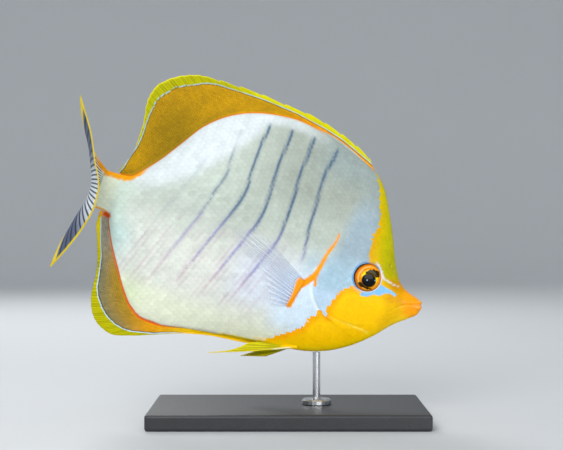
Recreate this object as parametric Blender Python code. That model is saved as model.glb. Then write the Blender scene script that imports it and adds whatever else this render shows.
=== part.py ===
"""Life-size display model of a yellowhead butterflyfish on a plain stand.

The fish is drawn in its own frame, in millimetres: x runs forward from the root of the tail
to the snout, z runs up its back and -y is its right side. One empty pitches it nose down and
carries it over the stand, whose underside is centred on the world origin.
"""

import bisect
import math

import bmesh
import bpy
from mathutils import Vector

# Pose and stand
MM = 0.001
NOSE_DOWN = math.radians(19.02)
FISH_PLACE = (-0.0832, 0, 0.0991)
GAP = 0.3
BASE_SIZE = (0.120, 0.072, 0.007)
BASE_BEVEL = 0.0012
ROD_X = 0.0125
ROD_RADIUS = 0.0017
FOOT_RADIUS = 0.0065
FOOT_HEIGHT = 0.0022
ROD_SIDES = 20

# Outline of the scaled body, without the fins: (x, z)
BACK = ((-2, 11.6), (4, 11.8), (10, 12.4), (14.6, 16.5), (20.6, 23.8), (26.6, 32.9), (33.6, 43.4),
        (41, 50.3), (50, 55.4), (60, 58.4), (72, 59.8), (87, 57.6), (101.5, 53.3), (112.5, 48.9),
        (118, 43.6), (123.5, 34.4), (128.8, 24.1), (133.5, 14.0), (138, 6.4), (142, 3.5), (147.5, 2.2),
        (150.2, 1.0))
BELLY = ((-2, -6), (4, -6), (6.4, -6.6), (8, -10.4), (12.2, -18.5), (18.5, -28.2), (24.4, -36.8),
         (29, -41.8), (35.7, -45.2), (44, -45.4), (56, -43.0), (70, -40.8), (84, -38.9), (97, -37.3),
         (107, -35.7), (116, -32.8), (125.5, -27.3), (134.5, -19.3), (140.5, -12.2), (146, -7.4),
         (149.2, -4.6), (150.2, -2.9))
# Half the body's width where it is widest: (x, half width)
GIRTH = ((-2, 2.4), (4, 3.6), (12, 5), (25, 7.4), (40, 9.8), (58, 11.9), (76, 13.2), (92, 13.3),
         (106, 12.5), (118, 10.8), (127, 8.7), (134, 6.8), (140, 5.1), (145, 3.9), (148.5, 3), (150.2, 1.9))
# Height at which the body is widest: (x, z)
WIDEST = ((-2, 2.8), (20, 2), (50, 4), (90, 2), (118, -1), (134, -2.5), (150.2, -0.9))
# Half the width of the flat ridge that carries the back and belly fins: (x, half width)
RIDGE = ((-2, 0.7), (4, 1), (14, 1.35), (108, 1.35), (116, 0.9), (140, 0.8), (150.2, 0.6))
BACK_FULLNESS = 0.68
BELLY_FULLNESS = 0.56
SIDE_POINTS = 13

# Body pieces
STALK_FROM, STALK_TO = -1.0, 4.0
TRUNK_TO = 136
HEAD_FROM, HEAD_TO = 98, 150.2
# Rear edge of the head: over the nape, round the gill cover and forward under the throat
GILL_EDGE = ((120, 58), (113.8, 47.8), (108.6, 32), (105.5, 18.2), (103.6, 10), (101.6, 1.5), (101.1, -6),
             (105.2, -13.2), (112.5, -18.2), (122, -21.2), (131.5, -25.5), (138, -31))
BEYOND_SNOUT = ((170, -40), (170, 60))
BEYOND_SIDES = 30
GILL_SWELL = 0.55
GILL_SWELL_REACH = 7

# Eyes, nostrils and lips
EYE_CENTRE = (123.4, 4.1)
EYE_RADIUS = 6.0
EYE_DEPTH = 4.7
EYE_INSET = 3.6
EYE_TURN = math.radians(12)
BALL_RINGS = 12
NOSTRILS = ((131.2, 12.4, 0.5), (132.9, 10.6, 0.4))
NOSTRIL_DEPTH, NOSTRIL_SIDES = 0.9, 10
LIP_CORNER, LIP_FRONT = 144.9, 150.0
LIP_STEPS = (LIP_CORNER, 146.2, 147.5, 148.7, 149.6)
LIP_RADIUS, LIP_INSET, LIP_SIDES = 0.8, 0.25, 8
LIP_LEVELS = (0.85, -1.0)

# Fins: half thickness in mm of a ray's crest, the web between two rays and the fin's edge
CREST, WEB, RIM = 0.46, 0.26, 0.2
ROOT_CLEAR = GAP + 0.02
ROOT_CROWDING = 1.15
SHEATH_FALL = 1.5
# Half thickness of each fin's root, and the share of its height over which that thins out
MEDIAN_ROOT, MEDIAN_SHEATH = 1.3, 0.5
TAIL_THICKNESS, TAIL_SHEATH = 1.1, 0.25
BREAST_ROOT, BREAST_SHEATH = 0.7, 0.25
PELVIC_ROOT, PELVIC_SHEATH = 0.8, 0.3


def smooth(points):
    """The smooth curve through (x, value) points that never swings past them, as a function."""
    xs = [p[0] for p in points]
    ys = [p[1] for p in points]
    steps = [b - a for a, b in zip(xs, xs[1:])]
    rises = [(b - a) / h for a, b, h in zip(ys, ys[1:], steps)]
    slopes = [rises[0]]
    for before, after in zip(rises, rises[1:]):
        slopes.append(0 if before * after <= 0 else 2 * before * after / (before + after))
    slopes.append(rises[-1])

    def value(x):
        x = min(max(x, xs[0]), xs[-1])
        i = min(bisect.bisect_right(xs, x) - 1, len(steps) - 1)
        t = (x - xs[i]) / steps[i]
        return (ys[i] * (1 + 2 * t) * (1 - t) ** 2 + ys[i + 1] * t * t * (3 - 2 * t)
                + steps[i] * (slopes[i] * t * (1 - t) ** 2 + slopes[i + 1] * t * t * (t - 1)))

    return value


def rounded(points, per_span):
    """A Catmull-Rom line through the points, with this many steps between two of them."""
    line = []
    ends = [points[0], *points, points[-1]]
    for a, b, c, d in zip(ends, ends[1:], ends[2:], ends[3:]):
        for k in range(per_span):
            t = k / per_span
            line.append(tuple(0.5 * (2 * q + (r - p) * t + (2 * p - 5 * q + 4 * r - s) * t * t
                                     + (3 * q - p - 3 * r + s) * t ** 3) for p, q, r, s in zip(a, b, c, d)))
    return [*line, points[-1]]


back_line, belly_line, girth, widest, ridge = map(smooth, (BACK, BELLY, GIRTH, WIDEST, RIDGE))
gill_edge = rounded(GILL_EDGE, 4)


def gill_swell(x, z):
    """How far the gill cover stands out over the plain body just in front of its own edge."""
    away = min(math.dist((x, z), p) for p in gill_edge)
    return GILL_SWELL * math.exp(-((away / GILL_SWELL_REACH) ** 2))


def half_width(x, z):
    """Half the plain body's width at this place seen from the side, or -1 outside its outline."""
    level = widest(x)
    edge = back_line(x) if z > level else belly_line(x)
    across = (z - level) / (edge - level)
    if across > 1:
        return -1
    fullness = BACK_FULLNESS if z > level else BELLY_FULLNESS
    return ridge(x) + (girth(x) - ridge(x)) * (1 - across * across) ** fullness


def steepness(x, z):
    """How much further a step along y is than one square to the plain body's side here."""
    reach = 0.2
    return math.hypot(1, (half_width(x + reach, z) - half_width(x - reach, z)) / (2 * reach),
                      (half_width(x, z + reach) - half_width(x, z - reach)) / (2 * reach))


def belly_height(x, y):
    """The height of the plain body's underside at this distance from its middle."""
    narrow = max(0, (y - ridge(x)) / (girth(x) - ridge(x))) ** (1 / BELLY_FULLNESS)
    return widest(x) + math.sqrt(1 - narrow) * (belly_line(x) - widest(x))


def body_ring(x, swollen):
    """The body's section at x, down its right side and up its left."""
    right = []
    for k in range(SIDE_POINTS):
        turn = math.cos(math.pi * k / (SIDE_POINTS - 1))
        edge = back_line(x) if turn > 0 else belly_line(x)
        z = widest(x) + abs(turn) * (edge - widest(x))
        swell = gill_swell(x, z) * math.sqrt(1 - turn * turn) if swollen else 0
        right.append((x, -max(half_width(x, z), ridge(x)) - swell, z))
    return right + [(x, -y, z) for x, y, z in reversed(right)]


def steps(start, end, most):
    count = math.ceil((end - start) / most)
    return [start + (end - start) * k / count for k in range(count + 1)]


def material(name, colour, roughness, metallic=0.0):
    made = bpy.data.materials.new(name)
    made.use_nodes = True
    shader = made.node_tree.nodes["Principled BSDF"]
    shader.inputs["Base Color"].default_value = (*colour, 1)
    shader.inputs["Roughness"].default_value = roughness
    shader.inputs["Metallic"].default_value = metallic
    return made


def mesh_object(name, points, faces, scale=MM):
    """An object of these points, in millimetres unless scale says otherwise, facing outwards."""
    mesh = bpy.data.meshes.new(name)
    mesh.from_pydata([[c * scale for c in p] for p in points], [], faces)
    shape = bmesh.new()
    shape.from_mesh(mesh)
    bmesh.ops.recalc_face_normals(shape, faces=shape.faces)
    shape.to_mesh(mesh)
    shape.free()
    mesh.shade_smooth()
    mesh.set_sharp_from_angle(angle=math.radians(40))
    made = bpy.data.objects.new(name, mesh)
    bpy.context.scene.collection.objects.link(made)
    return made


def loft(name, rings, scale=MM):
    """A closed solid through rings of equally many points, with flat ends."""
    size = len(rings[0])
    points = [p for ring in rings for p in ring]
    faces = [tuple(range(size)), tuple(range(len(points) - size, len(points)))]
    for i in range(len(rings) - 1):
        for j in range(size):
            a, b = i * size + j, i * size + (j + 1) % size
            faces.append((a, b, b + size, a + size))
    return mesh_object(name, points, faces, scale)


def boolean(target, others, operation):
    """Applies one exact Boolean of the other objects to the target and removes them."""
    group = bpy.data.collections.new(operation.lower())
    for other in others:
        group.objects.link(other)
    modifier = target.modifiers.new(operation.lower(), "BOOLEAN")
    modifier.operation = operation
    modifier.operand_type = "COLLECTION"
    modifier.collection = group
    graph = bpy.context.evaluated_depsgraph_get()
    made = bpy.data.meshes.new_from_object(target.evaluated_get(graph))
    target.modifiers.clear()
    target.data = made
    for other in others:
        bpy.data.objects.remove(other)
    bpy.data.collections.remove(group)


def keep_largest(target):
    """Leaves only the largest closed surface of the object."""
    shape = bmesh.new()
    shape.from_mesh(target.data)
    left, pieces = set(shape.verts), []
    while left:
        piece, front = set(), [left.pop()]
        while front:
            vertex = front.pop()
            piece.add(vertex)
            near = {e.other_vert(vertex) for e in vertex.link_edges} & left
            left -= near
            front.extend(near)
        pieces.append(piece)
    pieces.sort(key=len)
    bmesh.ops.delete(shape, geom=[v for piece in pieces[:-1] for v in piece], context="VERTS")
    shape.to_mesh(target.data)
    shape.free()


def gill_prism(name, side):
    """All that lies in front of the gill edge, moved half the gap forward (1) or back (-1)."""
    line = []
    for (ax, az), (bx, bz) in zip(gill_edge, gill_edge[1:]):
        length = math.dist((ax, az), (bx, bz))
        forward = Vector((-(bz - az), bx - ax)) / length * side * GAP / 2
        line.append(((ax + bx) / 2 + forward.x, (az + bz) / 2 + forward.y))
    corners = [*line, *BEYOND_SNOUT]
    return loft(name, [[(x, y, z) for x, z in corners] for y in (-BEYOND_SIDES, BEYOND_SIDES)])


def lip(level):
    """One lip: a tube round the snout from corner to corner of the mouth."""
    right = [(x, -half_width(x, level) + LIP_INSET, level) for x in LIP_STEPS]
    path = [*right, (LIP_FRONT, 0, level), *[(x, -y, z) for x, y, z in reversed(right)]]
    rings = []
    for i, point in enumerate(path):
        before, after = path[max(i - 1, 0)], path[min(i + 1, len(path) - 1)]
        along = Vector((after[0] - before[0], after[1] - before[1], 0)).normalized()
        side = Vector((along.y, -along.x, 0))
        turns = [2 * math.pi * k / LIP_SIDES for k in range(LIP_SIDES)]
        rings.append([Vector(point) + LIP_RADIUS * (side * math.cos(a) + Vector((0, 0, 1)) * math.sin(a))
                      for a in turns])
    return loft("lip", rings)


def ellipsoid(name, side, grow):
    """An eye, or with grow its socket: a flattened ball turned a little forward."""
    x, z = EYE_CENTRE
    y = half_width(x, z) - EYE_INSET
    radius, depth = EYE_RADIUS + grow, EYE_DEPTH + grow
    points = []
    for i in range(1, BALL_RINGS):
        down = math.pi * i / BALL_RINGS
        for j in range(2 * BALL_RINGS):
            around = math.pi * j / BALL_RINGS
            flat = radius * math.sin(down)
            points.append((flat * math.cos(around), -depth * math.cos(down), flat * math.sin(around)))
    poles = [(0, -depth, 0), (0, depth, 0)]
    cos, sin = math.cos(EYE_TURN), math.sin(EYE_TURN)
    turned = [(x + px * cos - py * sin, side * (y - px * sin - py * cos), z + pz)
              for px, py, pz in points + poles]
    size = 2 * BALL_RINGS
    first, last = len(points), len(points) + 1
    faces = []
    for i in range(BALL_RINGS - 2):
        for j in range(size):
            a, b = i * size + j, i * size + (j + 1) % size
            faces.append((a, b, b + size, a + size))
    for j in range(size):
        faces.append((first, (j + 1) % size, j))
        faces.append((last, first - size + j, first - size + (j + 1) % size))
    return mesh_object(name, turned, faces)


def nostril(x, z, radius, side):
    y = half_width(x, z)
    turns = [2 * math.pi * k / NOSTRIL_SIDES for k in range(NOSTRIL_SIDES)]
    return loft("nostril", [[(x + radius * math.cos(a), side * (y + out), z + radius * math.sin(a))
                             for a in turns] for out in (-NOSTRIL_DEPTH, 2 * NOSTRIL_DEPTH)])


def fin(name, path, rays, rows, root, sheath):
    """A fin whose rays stand up as ridges in its web, split into triangles alike on both faces.

    path(across, along) gives its middle surface for 0 to 1 both ways. Its half thickness falls
    from root to that of rays and web over the share of its height that sheath names.
    """
    columns = [k / (2 * (rays - 1)) for k in range(2 * rays - 1)]
    alongs = [(i / rows) ** ROOT_CROWDING for i in range(rows + 1)]
    near = 0.004
    front, rear = [], []
    for along in alongs:
        for k, across in enumerate(columns):
            low, high = max(across - near, 0), min(across + near, 1)
            under, over = max(along - near, 0), min(along + near, 1)
            width = Vector(path(high, along)) - Vector(path(low, along))
            height = Vector(path(across, over)) - Vector(path(across, under))
            normal = width.cross(height).normalized()
            blade = WEB if k % 2 else CREST
            blade += (RIM - blade) * along ** 3
            rise = max(0, 1 - along / sheath) ** SHEATH_FALL
            half = blade + (root - blade) * rise
            middle = Vector(path(across, along))
            front.append(middle + normal * half)
            rear.append(middle - normal * half)
    wide, count = len(columns), len(front)
    faces = []
    for i in range(rows):
        for j in range(wide - 1):
            a = i * wide + j
            b, c, d = a + 1, a + wide + 1, a + wide
            faces += [(a, b, c), (a, c, d)]
            faces += [(a + count, c + count, b + count), (a + count, d + count, c + count)]
    border = [*range(wide), *[i * wide + wide - 1 for i in range(1, rows + 1)]]
    border += [rows * wide + j for j in range(wide - 2, -1, -1)] + [i * wide for i in range(rows - 1, 0, -1)]
    for a, b in zip(border, border[1:] + border[:1]):
        faces += [(a, b + count, b), (a, a + count, b + count)]
    return mesh_object(name, front + rear, faces)


def on_edge(line, x, outward):
    """A point of the median plane just clear of the back (1) or the belly (-1)."""
    slope = line(x + 0.5) - line(x - 0.5)
    length = math.hypot(slope, 1)
    return x - outward * slope / length * ROOT_CLEAR, line(x) + outward / length * ROOT_CLEAR


# Back fin, front to rear: the x of a ray's root and the (x, z) of its tip
BACK_RAYS = ((112.3, 107.4, 54.4), (106, 98, 57.7), (97.5, 87.5, 60.8), (88, 76, 63.3), (77, 63, 64.7),
             (64, 49, 65.6), (53, 36, 65.4), (46, 26, 64.6), (40, 16.5, 61.2), (34, 9.3, 54.6),
             (28.5, 6.7, 45.6), (22.8, 8.1, 34.8), (17, 8.2, 25.6), (12.3, 6.7, 18.6), (7.2, 4.9, 13.8))
# Belly fin, front to rear
BELLY_RAYS = ((80, 77.5, -40.8), (71, 66.5, -42.6), (62, 55, -45.6), (54, 44, -49.8), (47, 33.5, -53.9),
              (40.5, 25.2, -56.2), (35, 18.8, -54.4), (29.5, 13.9, -49.9), (24.4, 11, -42.6),
              (18.6, 9.6, -31.4), (12.6, 6.9, -21.2), (9.2, 3.4, -13.4), (6.9, 3.0, -7.0))
RAY_BOW = 0.04


def median_fin(name, line, outward, keys, rays, rows):
    """The back or the belly fin, which stands in the median plane on the body's ridge."""
    shares = [k / (len(keys) - 1) for k in range(len(keys))]
    root_x, tip_x, tip_z = (smooth(list(zip(shares, values))) for values in zip(*keys))

    def path(across, along):
        foot_x, foot_z = on_edge(line, root_x(across), outward)
        run, climb = tip_x(across) - foot_x, tip_z(across) - foot_z
        bow = RAY_BOW * along * (1 - along) * 4
        return foot_x + run * along - bow * climb, 0, foot_z + climb * along + bow * run

    return fin(name, path, rays, rows, MEDIAN_ROOT, MEDIAN_SHEATH)


# Tail fin, lower to upper edge: tip and bend of a ray, each (x, y, z)
TAIL_TIPS = ((-8.2, -13, -36), (-2.8, -19, -25), (1.1, -23, -14.5), (2.9, -25, -5.5), (2.5, -25.5, 1.8),
             (0.4, -25, 7.6), (-3.4, -23, 13.6), (-9.6, -17.5, 24.2), (-20.6, -10, 38.6))
TAIL_BENDS = ((-9.6, -1, -14), (-10.2, -2, -9), (-9.4, -2, -4), (-8.6, -2, -0.6), (-8.4, -2, 2.2),
              (-9, -2, 5.6), (-10.4, -2, 9.6), (-12.6, -1.5, 14.6), (-15, -1, 19.3))
TAIL_ROOT = STALK_FROM - GAP
TAIL_ROOT_INSET = 0.4


def tail_path():
    shares = [k / (len(TAIL_TIPS) - 1) for k in range(len(TAIL_TIPS))]
    tips = [smooth(list(zip(shares, values))) for values in zip(*TAIL_TIPS)]
    bends = [smooth(list(zip(shares, values))) for values in zip(*TAIL_BENDS)]
    low, high = belly_line(STALK_FROM) + TAIL_ROOT_INSET, back_line(STALK_FROM) - TAIL_ROOT_INSET

    def path(across, along):
        root = (TAIL_ROOT, 0, low + (high - low) * across)
        return [r * (1 - along) ** 2 + 2 * b(across) * along * (1 - along) + t(across) * along ** 2
                for r, b, t in zip(root, bends, tips)]

    return path


# Breast fin, upper to lower ray: root and tip, each (x, z), on the fish's side
BREAST_RAYS = ((97.6, -5.8, 74.6, 7.4), (97.4, -6.6, 64.5, 7.2), (97.1, -8, 61, 3.9), (96.7, -9.6, 65.8, 0.4),
               (96.2, -11.6, 72.4, -2.8), (95.6, -13.8, 78.6, -8.6), (94.9, -16, 82.4, -14.6),
               (94.1, -18.2, 86.4, -20.2))
BREAST_SPREAD = 0.19


def breast_path(side):
    shares = [k / (len(BREAST_RAYS) - 1) for k in range(len(BREAST_RAYS))]
    root_x, root_z, tip_x, tip_z = (smooth(list(zip(shares, values))) for values in zip(*BREAST_RAYS))

    def path(across, along):
        x = root_x(across) + (tip_x(across) - root_x(across)) * along
        z = root_z(across) + (tip_z(across) - root_z(across)) * along
        length = math.dist((root_x(across), root_z(across)), (x, z))
        spread = BREAST_SPREAD * length ** 1.5 / (length + 6) ** 0.5
        return x, side * (half_width(x, z) + (GAP + BREAST_ROOT) * steepness(x, z) + spread), z

    return path


# Belly pair, outer to inner ray: (x, distance from the middle) of its root, (x, distance, z) of its tip
RIGHT_PELVIC_RAYS = (
    (104.2, 4.4, 88.4, 6.8, -41.4), (103.4, 4.2, 68.3, 6.4, -49.2), (102.6, 4, 76.5, 5.4, -45.4),
    (101.8, 3.8, 80.5, 4.8, -42.4), (101, 3.6, 83.5, 4.6, -40.4), (100.2, 3.4, 87, 4.4, -39.1))
LEFT_PELVIC_RAYS = (
    (104.2, 4.4, 92.5, 11, -44.4), (103.4, 4.2, 82, 18, -48.4), (102.6, 4, 84.2, 14, -46.4),
    (101.8, 3.8, 86.4, 10.5, -44.4), (101, 3.6, 88.6, 7.6, -42.3), (100.2, 3.4, 90.6, 5.4, -40.3))


def pelvic_path(side, rays):
    shares = [k / (len(rays) - 1) for k in range(len(rays))]
    values = [smooth(list(zip(shares, column))) for column in zip(*rays)]

    def path(across, along):
        root_x, root_y, tip_x, tip_y, tip_z = (value(across) for value in values)
        root_z = belly_height(root_x, root_y - PELVIC_ROOT) - GAP
        return (root_x + (tip_x - root_x) * along, side * (root_y + (tip_y - root_y) * along),
                root_z + (tip_z - root_z) * along)

    return path


def body_piece(name, places, swollen):
    return loft(name, [body_ring(x, swollen) for x in places])


def make_body(skin_white, skin_yellow):
    stalk = body_piece("tail_stalk", steps(STALK_FROM, STALK_TO - GAP / 2, 1.7), False)
    trunk_places = steps(STALK_TO + GAP / 2, 9, 0.9) + steps(9, 38, 2.3)[1:] + steps(38, TRUNK_TO, 4.5)[1:]
    trunk = body_piece("trunk", trunk_places, False)
    boolean(trunk, [gill_prism("in_front", -1)], "DIFFERENCE")
    keep_largest(trunk)
    head = body_piece("head", steps(HEAD_FROM, 134, 2.6) + steps(134, HEAD_TO, 1.5)[1:], True)
    boolean(head, [gill_prism("in_front", 1)], "INTERSECT")
    boolean(head, [lip(level) for level in LIP_LEVELS], "UNION")
    sockets = [ellipsoid("socket", side, GAP) for side in (-1, 1)]
    holes = [nostril(x, z, radius, side) for x, z, radius in NOSTRILS for side in (-1, 1)]
    boolean(head, sockets + holes, "DIFFERENCE")
    keep_largest(head)
    for piece, finish in ((stalk, skin_white), (trunk, skin_white), (head, skin_yellow)):
        piece.data.materials.clear()
        piece.data.materials.append(finish)
    return [stalk, trunk, head]


def make_fins(orange, grey, clear, yellow):
    right_pelvic, left_pelvic = pelvic_path(-1, RIGHT_PELVIC_RAYS), pelvic_path(1, LEFT_PELVIC_RAYS)
    pieces = [
        (median_fin("dorsal_fin", back_line, 1, BACK_RAYS, 37, 6), orange),
        (median_fin("anal_fin", belly_line, -1, BELLY_RAYS, 25, 6), orange),
        (fin("caudal_fin", tail_path(), 17, 9, TAIL_THICKNESS, TAIL_SHEATH), grey),
        (fin("pectoral_fin_right", breast_path(-1), 15, 6, BREAST_ROOT, BREAST_SHEATH), clear),
        (fin("pectoral_fin_left", breast_path(1), 15, 6, BREAST_ROOT, BREAST_SHEATH), clear),
        (fin("pelvic_fin_right", right_pelvic, 6, 6, PELVIC_ROOT, PELVIC_SHEATH), yellow),
        (fin("pelvic_fin_left", left_pelvic, 6, 6, PELVIC_ROOT, PELVIC_SHEATH), yellow),
    ]
    for piece, finish in pieces:
        piece.data.materials.append(finish)
    return [piece for piece, _ in pieces]


def make_eyes(finish):
    eyes = [ellipsoid("eye_right", -1, 0), ellipsoid("eye_left", 1, 0)]
    for eye in eyes:
        eye.data.materials.append(finish)
    return eyes


def underside(world_x, world_y, pose):
    """The height at which a plumb line meets the fish from below, in metres."""
    inverse = pose.inverted()
    height, step = 0.0, 0.00002
    while True:
        x, y, z = (inverse @ Vector((world_x, world_y, height))) / MM
        if abs(y) < half_width(x, z):
            return height
        height += step


def make_stand(paint, steel, pose):
    """A flat base and one rod, whose top follows the belly with the usual gap."""
    bpy.ops.mesh.primitive_cube_add(size=1, location=(0, 0, BASE_SIZE[2] / 2))
    base = bpy.context.active_object
    base.name = "stand_base"
    base.scale = BASE_SIZE
    bpy.ops.object.transform_apply(location=False, rotation=False, scale=True)
    bevel = base.modifiers.new("rounded edges", "BEVEL")
    bevel.width = BASE_BEVEL
    bevel.segments = 3
    base.data.materials.append(paint)

    def ring(radius, height):
        turns = [2 * math.pi * k / ROD_SIDES for k in range(ROD_SIDES)]
        places = [(ROD_X + radius * math.cos(a), radius * math.sin(a)) for a in turns]
        return [(x, y, height or underside(x, y, pose) - GAP * MM) for x, y in places]

    foot = BASE_SIZE[2] + GAP * MM
    under_belly = None
    levels = [(FOOT_RADIUS, foot), (FOOT_RADIUS, foot + FOOT_HEIGHT * 0.7),
              (FOOT_RADIUS * 0.9, foot + FOOT_HEIGHT), (ROD_RADIUS * 1.3, foot + FOOT_HEIGHT),
              (ROD_RADIUS, foot + FOOT_HEIGHT * 1.4), (ROD_RADIUS, under_belly)]
    rod = loft("stand_rod", [ring(*level) for level in levels], scale=1)
    rod.data.materials.append(steel)


def main():
    for old in list(bpy.data.objects):
        bpy.data.objects.remove(old)
    pose = bpy.data.objects.new("fish_pose", None)
    bpy.context.scene.collection.objects.link(pose)
    pose.location = FISH_PLACE
    pose.rotation_euler = (0, NOSE_DOWN, 0)
    bpy.context.view_layer.update()
    fish = make_body(material("white skin", (0.72, 0.74, 0.70), 0.45),
                     material("yellow skin", (0.95, 0.55, 0.01), 0.42))
    fish += make_fins(material("orange fin", (0.66, 0.33, 0.02), 0.5),
                      material("grey fin", (0.30, 0.35, 0.44), 0.45),
                      material("clear fin", (0.68, 0.74, 0.80), 0.35),
                      material("yellow fin", (0.75, 0.60, 0.02), 0.45))
    fish += make_eyes(material("eye", (0.12, 0.06, 0.01), 0.08))
    for piece in fish:
        piece.parent = pose
    make_stand(material("stand paint", (0.03, 0.03, 0.032), 0.4),
               material("stand steel", (0.55, 0.55, 0.56), 0.25, 1.0), pose.matrix_world.copy())


main()
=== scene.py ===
"""Looks of the life-size yellowhead butterflyfish on its stand.

Shapes are worked out in the fish's own frame, in millimetres: x runs forward from the root of
the tail to the snout, z runs up its back and -y is its right side. to_world() pitches it nose
down and carries it over the stand, as the solid part does.

Colours are worked out from the place on the fish. A tint is built up from layers, each a colour
and its share. step(low, high, value) fades a layer in, or out where low is the larger of the two.
"""

import math

import bpy
import numpy as np
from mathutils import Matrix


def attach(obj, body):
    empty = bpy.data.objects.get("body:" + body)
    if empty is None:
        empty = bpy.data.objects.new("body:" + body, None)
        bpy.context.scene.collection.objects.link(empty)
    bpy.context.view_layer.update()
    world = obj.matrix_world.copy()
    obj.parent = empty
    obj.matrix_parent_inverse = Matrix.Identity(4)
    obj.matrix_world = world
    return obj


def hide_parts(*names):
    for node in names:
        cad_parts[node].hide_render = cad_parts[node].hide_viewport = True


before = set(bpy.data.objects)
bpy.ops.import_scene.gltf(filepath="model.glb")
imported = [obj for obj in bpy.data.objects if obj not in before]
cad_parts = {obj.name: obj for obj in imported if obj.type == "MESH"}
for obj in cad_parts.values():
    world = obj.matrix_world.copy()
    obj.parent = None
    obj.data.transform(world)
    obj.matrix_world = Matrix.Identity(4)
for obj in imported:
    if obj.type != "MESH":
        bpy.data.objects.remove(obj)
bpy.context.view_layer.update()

rng = np.random.default_rng(11)

MM = 0.001
NOSE_DOWN = math.radians(19.02)
PITCH_COS, PITCH_SIN = math.cos(NOSE_DOWN), math.sin(NOSE_DOWN)
FISH_PLACE = np.array((-0.0832, 0, 0.0991))
TURN = np.array(((PITCH_COS, 0, PITCH_SIN), (0, 1, 0), (-PITCH_SIN, 0, PITCH_COS)))
SIDES = (("right", -1), ("left", 1))

# Outline of the scaled body and its widths, as in the solid part
BACK = ((-2, 11.6), (4, 11.8), (10, 12.4), (14.6, 16.5), (20.6, 23.8), (26.6, 32.9), (33.6, 43.4),
        (41, 50.3), (50, 55.4), (60, 58.4), (72, 59.8), (87, 57.6), (101.5, 53.3), (112.5, 48.9),
        (118, 43.6), (123.5, 34.4), (128.8, 24.1), (133.5, 14.0), (138, 6.8), (142, 4.1), (147.5, 2.5),
        (150.2, 1.0))
BELLY = ((-2, -6), (4, -6), (6.4, -6.6), (8, -10.4), (12.2, -18.5), (18.5, -28.2), (24.4, -36.8),
         (29, -41.8), (35.7, -45.2), (44, -45.4), (56, -43.0), (70, -40.8), (84, -38.9), (97, -37.3),
         (107, -35.7), (116, -32.8), (125.5, -27.3), (134.5, -19.3), (140.5, -12.2), (146, -7.4),
         (149.2, -4.6), (150.2, -2.9))
GIRTH = ((-2, 2.4), (4, 3.6), (12, 5), (25, 7.4), (40, 9.8), (58, 11.9), (76, 13.2), (92, 13.3),
         (106, 12.5), (118, 10.8), (127, 8.7), (134, 6.8), (140, 5.1), (145, 3.9), (148.5, 3), (150.2, 1.9))
WIDEST = ((-2, 2.8), (20, 2), (50, 4), (90, 2), (118, -1), (134, -2.5), (150.2, -0.9))
RIDGE = ((-2, 0.7), (4, 1), (14, 1.35), (108, 1.35), (116, 0.9), (140, 0.8), (150.2, 0.6))
BACK_FULLNESS, BELLY_FULLNESS = 0.68, 0.56
GILL_EDGE = ((120, 58), (113.8, 47.8), (108.6, 32), (105.5, 18.2), (103.6, 10), (101.6, 1.5), (101.1, -6),
             (105.2, -13.2), (112.5, -18.2), (122, -21.2), (131.5, -25.5), (138, -31))
GILL_SWELL, GILL_SWELL_REACH = 0.55, 7
EYE_CENTRE, EYE_RADIUS, EYE_DEPTH, EYE_INSET = (122.9, 4.3), 6.2, 4.7, 3.4
EYE_TURN = math.radians(12)
GAP = 0.3

# Depth at which the skin lies under the scales' outer faces
SKIN_DEPTH = 0.2


def smooth(points):
    """The smooth curve through (x, value) points that never swings past them, as a function."""
    xs, ys = np.array(points, float).T
    steps = np.diff(xs)
    rises = np.diff(ys) / steps
    slopes = [rises[0]]
    for before, after in zip(rises, rises[1:]):
        slopes.append(0 if before * after <= 0 else 2 * before * after / (before + after))
    slopes = np.array([*slopes, rises[-1]])

    def value(x):
        x = np.clip(x, xs[0], xs[-1])
        i = np.clip(np.searchsorted(xs, x, side="right") - 1, 0, len(steps) - 1)
        t = (x - xs[i]) / steps[i]
        return (ys[i] * (1 + 2 * t) * (1 - t) ** 2 + ys[i + 1] * t * t * (3 - 2 * t)
                + steps[i] * (slopes[i] * t * (1 - t) ** 2 + slopes[i + 1] * t * t * (t - 1)))

    return value


def rounded(points, per_span):
    """A Catmull-Rom line through the points, with this many steps between two of them."""
    points = np.array(points, float)
    ends = np.vstack((points[:1], points, points[-1:]))
    t = (np.arange(per_span) / per_span)[:, None]
    line = [0.5 * (2 * b + (c - a) * t + (2 * a - 5 * b + 4 * c - d) * t * t
                   + (3 * b - a - 3 * c + d) * t ** 3)
            for a, b, c, d in zip(ends, ends[1:], ends[2:], ends[3:])]
    return np.vstack((*line, points[-1:]))


back_line, belly_line, girth, widest, ridge = map(smooth, (BACK, BELLY, GIRTH, WIDEST, RIDGE))
gill_edge = rounded(GILL_EDGE, 4)


def half_width(x, z):
    level = widest(x)
    edge = np.where(z > level, back_line(x), belly_line(x))
    across = np.clip((z - level) / (edge - level), 0, 1)
    fullness = np.where(z > level, BACK_FULLNESS, BELLY_FULLNESS)
    return ridge(x) + (girth(x) - ridge(x)) * (1 - across * across) ** fullness


def to_world(points):
    return FISH_PLACE + (np.asarray(points) * MM) @ TURN.T


def from_eye(x, z):
    return np.hypot(x - EYE_CENTRE[0], z - EYE_CENTRE[1])


def step(low, high, value):
    """0 before low, 1 past high and a soft step between them, whichever of the two is larger."""
    t = np.clip((value - low) / (high - low), 0, 1)
    return t * t * (3 - 2 * t)


def hump(value, centre, reach):
    """1 at the centre, fading out over the reach on both sides."""
    return np.exp(-((value - centre) / reach) ** 2)


def spot(x, z, centre_x, centre_z, reach_x, reach_z):
    """1 at the centre, fading out over the reach along x and z."""
    return np.exp(-((x - centre_x) / reach_x) ** 2 - ((z - centre_z) / reach_z) ** 2)


def circle(count):
    """Evenly spaced angles once round."""
    return np.arange(count) / count * 2 * math.pi


def unit(vectors):
    return vectors / np.maximum(np.linalg.norm(vectors, axis=-1, keepdims=True), 1e-9)


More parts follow.
